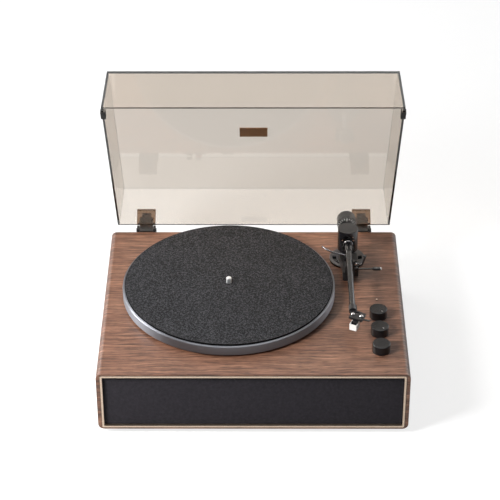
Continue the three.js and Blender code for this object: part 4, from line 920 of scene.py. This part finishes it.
ARM_AXIS = along_y(ARM_X, ARM_Y, DECK + ARM_HEIGHT)
gloss_black = gloss_black_lacquer()
HUB_FRONT = (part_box("arm_hub")[0][1] - ARM_Y) * 1000
hub = revolved("arm_hub_turned", [
    (0, HUB_FRONT), (6.2, HUB_FRONT), (7.1, HUB_FRONT + 1.6), (7.1, 8), (4.5, 8), (4.5, 58),
    (0, 58)], turned_steel("satin_hub_steel", "#77787C", rings=(40, 2500, 40)), ARM_AXIS,
    steps=64, edge_mm=0.4, limit_deg=20)
settle(hub, "arm_hub")
TUBE_FRONT, TUBE_REAR = ((end[1] - ARM_Y) * 1000 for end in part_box("arm_tube"))
tube = revolved("arm_tube_drawn", [
    (3.2, TUBE_FRONT), (4.2, TUBE_FRONT), (4.2, -34), (5.2, -33.6), (5.2, TUBE_REAR),
    (3.2, TUBE_REAR), (3.2, TUBE_FRONT)], gloss_black, ARM_AXIS, steps=64, edge_mm=0.15)
settle(tube, "arm_tube")
ring = revolved("scale_ring_moulded", [
    (4.9, 34.4), (13.4, 34.4), (13.4, 38.1), (4.9, 38.1), (4.9, 34.4)],
    dial_plastic(), ARM_AXIS, steps=128, edge_mm=0.3)
settle(ring, "scale_ring")
weight = revolved("counterweight_turned", [
    (4.9, 38.4), (13.5, 38.4), (13.8, 38.7), (13.8, 53.2), (12.6, 54.4), (8, 54.4), (7.6, 54),
    (4.9, 54), (4.9, 38.4)], black_paint, ARM_AXIS, steps=128, edge_mm=0.25, limit_deg=25)
settle(weight, "counterweight")


# The head of the arm. A flat shell on a short collar, with the cartridge hung under it by two
# slotted screws, a bent bar to lift it by, and a white guard slid over the needle.
def slotted_screw(name, place, finish, length_mm, head_radius, head_mm, shank_radius):
    """A cheese-head screw, its head to the top and a slot sawn across it."""
    whole = revolved(name, [
        (0, -length_mm), (shank_radius, -length_mm), (shank_radius, 0), (head_radius, 0),
        (head_radius, head_mm * 0.75), (head_radius * 0.8, head_mm), (0, head_mm)],
        finish, place, steps=40)
    blade = np.array([(-4, -0.3), (4, -0.3), (4, 0.3), (-4, 0.3)])
    saw = skinned("saw_tool", np.stack([np.insert(blade, 2, z, axis=1)
                                        for z in (head_mm * 0.45, head_mm + 1)]) / 1000,
                  finish, place, caps=True)
    return carved(whole, saw)


HEAD_TURN = math.radians(-24.2)
HEAD_PLACE = (ARM_X + 0.0054, ARM_Y - 0.189535, DECK + ARM_HEIGHT)
SCREW_FROM_MIDDLE = 0.00635
SCREW_SEAT = 0.0018
dressed("headshell", black_plastic, edge_mm=0.35)
dressed("finger_lift", black_paint, edge_mm=0.3)
dressed("cartridge", black_plastic, edge_mm=0.3)
dressed("stylus", black_plastic, edge_mm=0.12)
for side, across, slot_deg in (("left", -SCREW_FROM_MIDDLE, 35), ("right", SCREW_FROM_MIDDLE, -20)):
    seat = (upright_at(*HEAD_PLACE) @ Matrix.Rotation(HEAD_TURN, 4, "Z")
            @ upright_at(across, 0, SCREW_SEAT) @ Matrix.Rotation(math.radians(slot_deg), 4, "Z"))
    screw = slotted_screw(f"cartridge_screw_{side}_slotted", seat, bright_chrome, length_mm=9.0,
                          head_radius=2.5, head_mm=1.8, shank_radius=1.1)
    settle(screw, f"cartridge_screw_{side}")


def white_nylon():
    """Moulded nylon, milky: a little light gets into it and softens its edges."""
    finish, tree, shader = new_finish("milky_white_nylon", {
        "Roughness": 0.4, "Subsurface Weight": 0.3, "Subsurface Radius": (0.001, 0.001, 0.001)})
    mottle(tree, shader, {"Scale": 350.0, "Detail": 3.0}, (0.3, "#E3E1DC"), (0.7, "#F4F3F0"))
    return finish


dressed("stylus_guard", white_nylon(), edge_mm=0.25)


# The arm's rest, with a clip hinged beside its cradle on a chromed pin, and the lift: a lever turns
# under a bar bent to an arc, which raises the tube wherever it stands.
dressed("arm_rest", black_plastic, edge_mm=0.4)
dressed("rest_clip", black_paint, edge_mm=0.3)
clip_place = next(joint["pos_m"] for joint in frame["record"]["behaviour"]["joints"]
                  if joint["name"] == "clip_turn")
clip_pin = revolved("rest_clip_pin_head", [
    (0, -2.6), (1, -2.6), (1.5, -2.2), (1.5, -1.7), (0, -1.7)],
    bright_chrome, along_y(*clip_place), steps=32, edge_mm=0.1)
attach(clip_pin, "clip")

# The bar of the lift: a nickel rod bent to an arc, with rounded ends, and its black post
CUE_START, CUE_END, CUE_POST = np.radians((272, 211.5, 261))
CUE_X, CUE_Y, CUE_TOP = 3.6, 17.3, 29.3
CUE_BEND = 47.6
CUE_RADIUS = 1.3
blunt = np.radians((90, 70, 45, 20))
swell = np.concatenate((np.cos(blunt), np.ones(40), np.cos(blunt)[::-1])) * CUE_RADIUS
cap = CUE_RADIUS / CUE_BEND
cap_turn = cap * (1 - np.sin(blunt))
turn = np.concatenate((CUE_START - cap_turn, np.linspace(CUE_START - cap, CUE_END + cap, 40),
                       CUE_END + cap_turn[::-1]))
spoke = np.linspace(0, 2 * math.pi, 20, endpoint=False)
out = CUE_BEND + np.outer(swell, np.cos(spoke))
bar = np.stack((CUE_X + out * np.cos(turn)[:, None], CUE_Y + out * np.sin(turn)[:, None],
                CUE_TOP - CUE_RADIUS + np.outer(swell, np.sin(spoke))), axis=-1) / 1000
nickel = turned_steel("dark_nickel_rod", "#6E6F74", rings=(300, 300, 300))
arc = skinned("cue_lift_bent", bar, nickel, ARM_STAND)
settle(arc, "cue_lift")
post_place = upright_at((CUE_X + CUE_BEND * math.cos(CUE_POST)) / 1000,
                        (CUE_Y + CUE_BEND * math.sin(CUE_POST)) / 1000)
post = revolved("cue_lift_post", [(0, 10), (2.2, 10), (2.2, 27.4), (1.6, 28), (0, 28)],
                black_paint, ARM_STAND @ post_place, steps=32)
attach(post, "lift_bar")

LEVER = ARM_STAND @ Matrix.Translation((0.0105, -0.0465, 0.0155))
ALONG_X = Matrix.Rotation(math.pi / 2, 4, "Y")
lever = revolved("cue_lever_turned", [
    (0, 2.5), (1.1, 2.5), (1.1, 22.4), (2.6, 25), (2.6, 34.5), (2.4, 34.9), (0, 34.9)],
    gloss_black, LEVER @ ALONG_X, steps=40, edge_mm=0.2, limit_deg=20)
settle(lever, "cue_lever")
eye = revolved("cue_lever_eye", [
    (0, -4.6), (1.2, -4.6), (1.2, -2), (3.4, -2), (3.4, 2), (1.2, 2), (1.2, 4.6), (0, 4.6)],
    black_paint, LEVER @ Matrix.Rotation(-math.pi / 2, 4, "X"), steps=40, edge_mm=0.25)
attach(eye, "lift_lever")
button = revolved("cue_lever_button", [
    (0, 34.8), (2.2, 34.8), (2.2, 35.4), (1.6, 36.1), (0, 36.4)],
    bright_chrome, LEVER @ ALONG_X, steps=32, edge_mm=0.2, limit_deg=20)
attach(button, "lift_lever")


# The hinges. Folded steel brackets screwed to the back of the cabinet, a pin through each, and
# a plastic leaf on the pin that the cover's socket slides over.
COVER_TURN = Matrix.Rotation(math.radians(-60.2), 4, "X")
for side in ("left", "right"):
    dressed(f"hinge_bracket_{side}", black_paint, edge_mm=0.4)
    dressed(f"hinge_pin_{side}", bright_pin, edge_mm=0.3)
    dressed(f"hinge_leaf_{side}", black_plastic, edge_mm=0.4)
    low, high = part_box(f"hinge_pin_{side}")
    HINGE_X, HINGE_Y, HINGE_Z = (low + high) / 2
    leaf = Matrix.Translation((HINGE_X, HINGE_Y, HINGE_Z)) @ COVER_TURN
    for across, place in ((-0.0048, "left"), (0.0048, "right")):
        eyelet = revolved(f"hinge_leaf_{side}_rivet_{place}", [
            (0, -1.1), (1, -1.1), (1.1, -0.2), (1.9, 0.28), (1.9, 0.1), (1.2, -0.6), (1.2, -1.3),
            (0, -1.3)], bright_pin, leaf @ Matrix.Translation((across, -0.0054, 0.0022))
            @ Matrix.Rotation(math.pi / 2, 4, "X"), steps=32)
        attach(eyelet, "cover")


# The dust cover. Moulded in one piece of smoke-tinted acrylic 3 mm thick, with polished faces
# and soft edges, and two sockets grown on its back wall for the hinge leaves.
def smoked_acrylic():
    """Tinted acrylic: clear glass-like faces over a body that swallows blue light most, so a
    wall seen edge on goes dark brown. The two hinge sockets take more of the tint, and the
    light of a lamp passes with a pale tint."""
    finish, tree, shader = new_finish("smoke_tinted_acrylic", {
        "Transmission Weight": 1.0, "IOR": 1.49})
    axes = add_node(tree, "ShaderNodeSeparateXYZ", {0: add_coordinates(tree)})
    side = add_node(tree, "ShaderNodeMath", {0: axes.outputs["X"]}, operation="ABSOLUTE")
    side = add_node(tree, "ShaderNodeMath", {0: side, 1: HINGE_X, 2: SOCKET_HALF_WIDTH},
                    operation="COMPARE")
    near = add_node(tree, "ShaderNodeMath", {
        0: distance_from(tree, y=HINGE_Y, z=HINGE_Z, along=0), 1: SOCKET_REACH},
        operation="LESS_THAN")
    socket = add_node(tree, "ShaderNodeMath", {0: side, 1: near}, operation="MULTIPLY")
    blend_base(tree, shader, socket, linear("#FFFFFF"), linear("#C9AF98"))
    wipes = add_node(tree, "ShaderNodeTexNoise", {
        "Vector": add_coordinates(tree), "Scale": 14.0, "Detail": 5.0, "Roughness": 0.6})
    plug(shader, {"Roughness": add_node(tree, "ShaderNodeMapRange", {
        "Value": wipes, "From Min": 0.35, "From Max": 0.75, "To Min": 0.0, "To Max": 0.04})})
    path = add_node(tree, "ShaderNodeLightPath")
    through = add_node(tree, "ShaderNodeBsdfTransparent", {"Color": linear("#DDD6CE")})
    surface = add_node(tree, "ShaderNodeMixShader", {
        0: path.outputs["Is Shadow Ray"], 1: shader, 2: through})
    body = add_node(tree, "ShaderNodeVolumeAbsorption", {
        "Color": linear("#A8863F"), "Density": 150.0})
    plug(tree.nodes["Material Output"], {"Surface": surface, "Volume": body})
    return finish


def aged_bronze():
    """Bronze brushed along its length under a thick brown-tinted lacquer, whose own colour
    shows beside the metal's shine, so that it stays brown where it mirrors the dark mat."""
    finish, tree, shader = new_finish("brushed_dark_bronze", {"Metallic": 0.45})
    mottle(tree, shader, {"Scale": 1.0, "Detail": 3.0}, (0.3, "#A98468"), (0.7, "#CBA88B"),
           gloss=(0.3, 0.5), scale=(30, 2200, 2200))
    return finish


SOCKET_HALF_WIDTH = 0.0138
SOCKET_REACH = 0.0305
dressed("dust_cover", smoked_acrylic(), edge_mm=0.6, rounds=3)
dressed("badge_plate", aged_bronze(), edge_mm=0.25)
for side in ("left", "right"):
    dressed(f"lid_bumper_{side}", rubber, edge_mm=0.5)
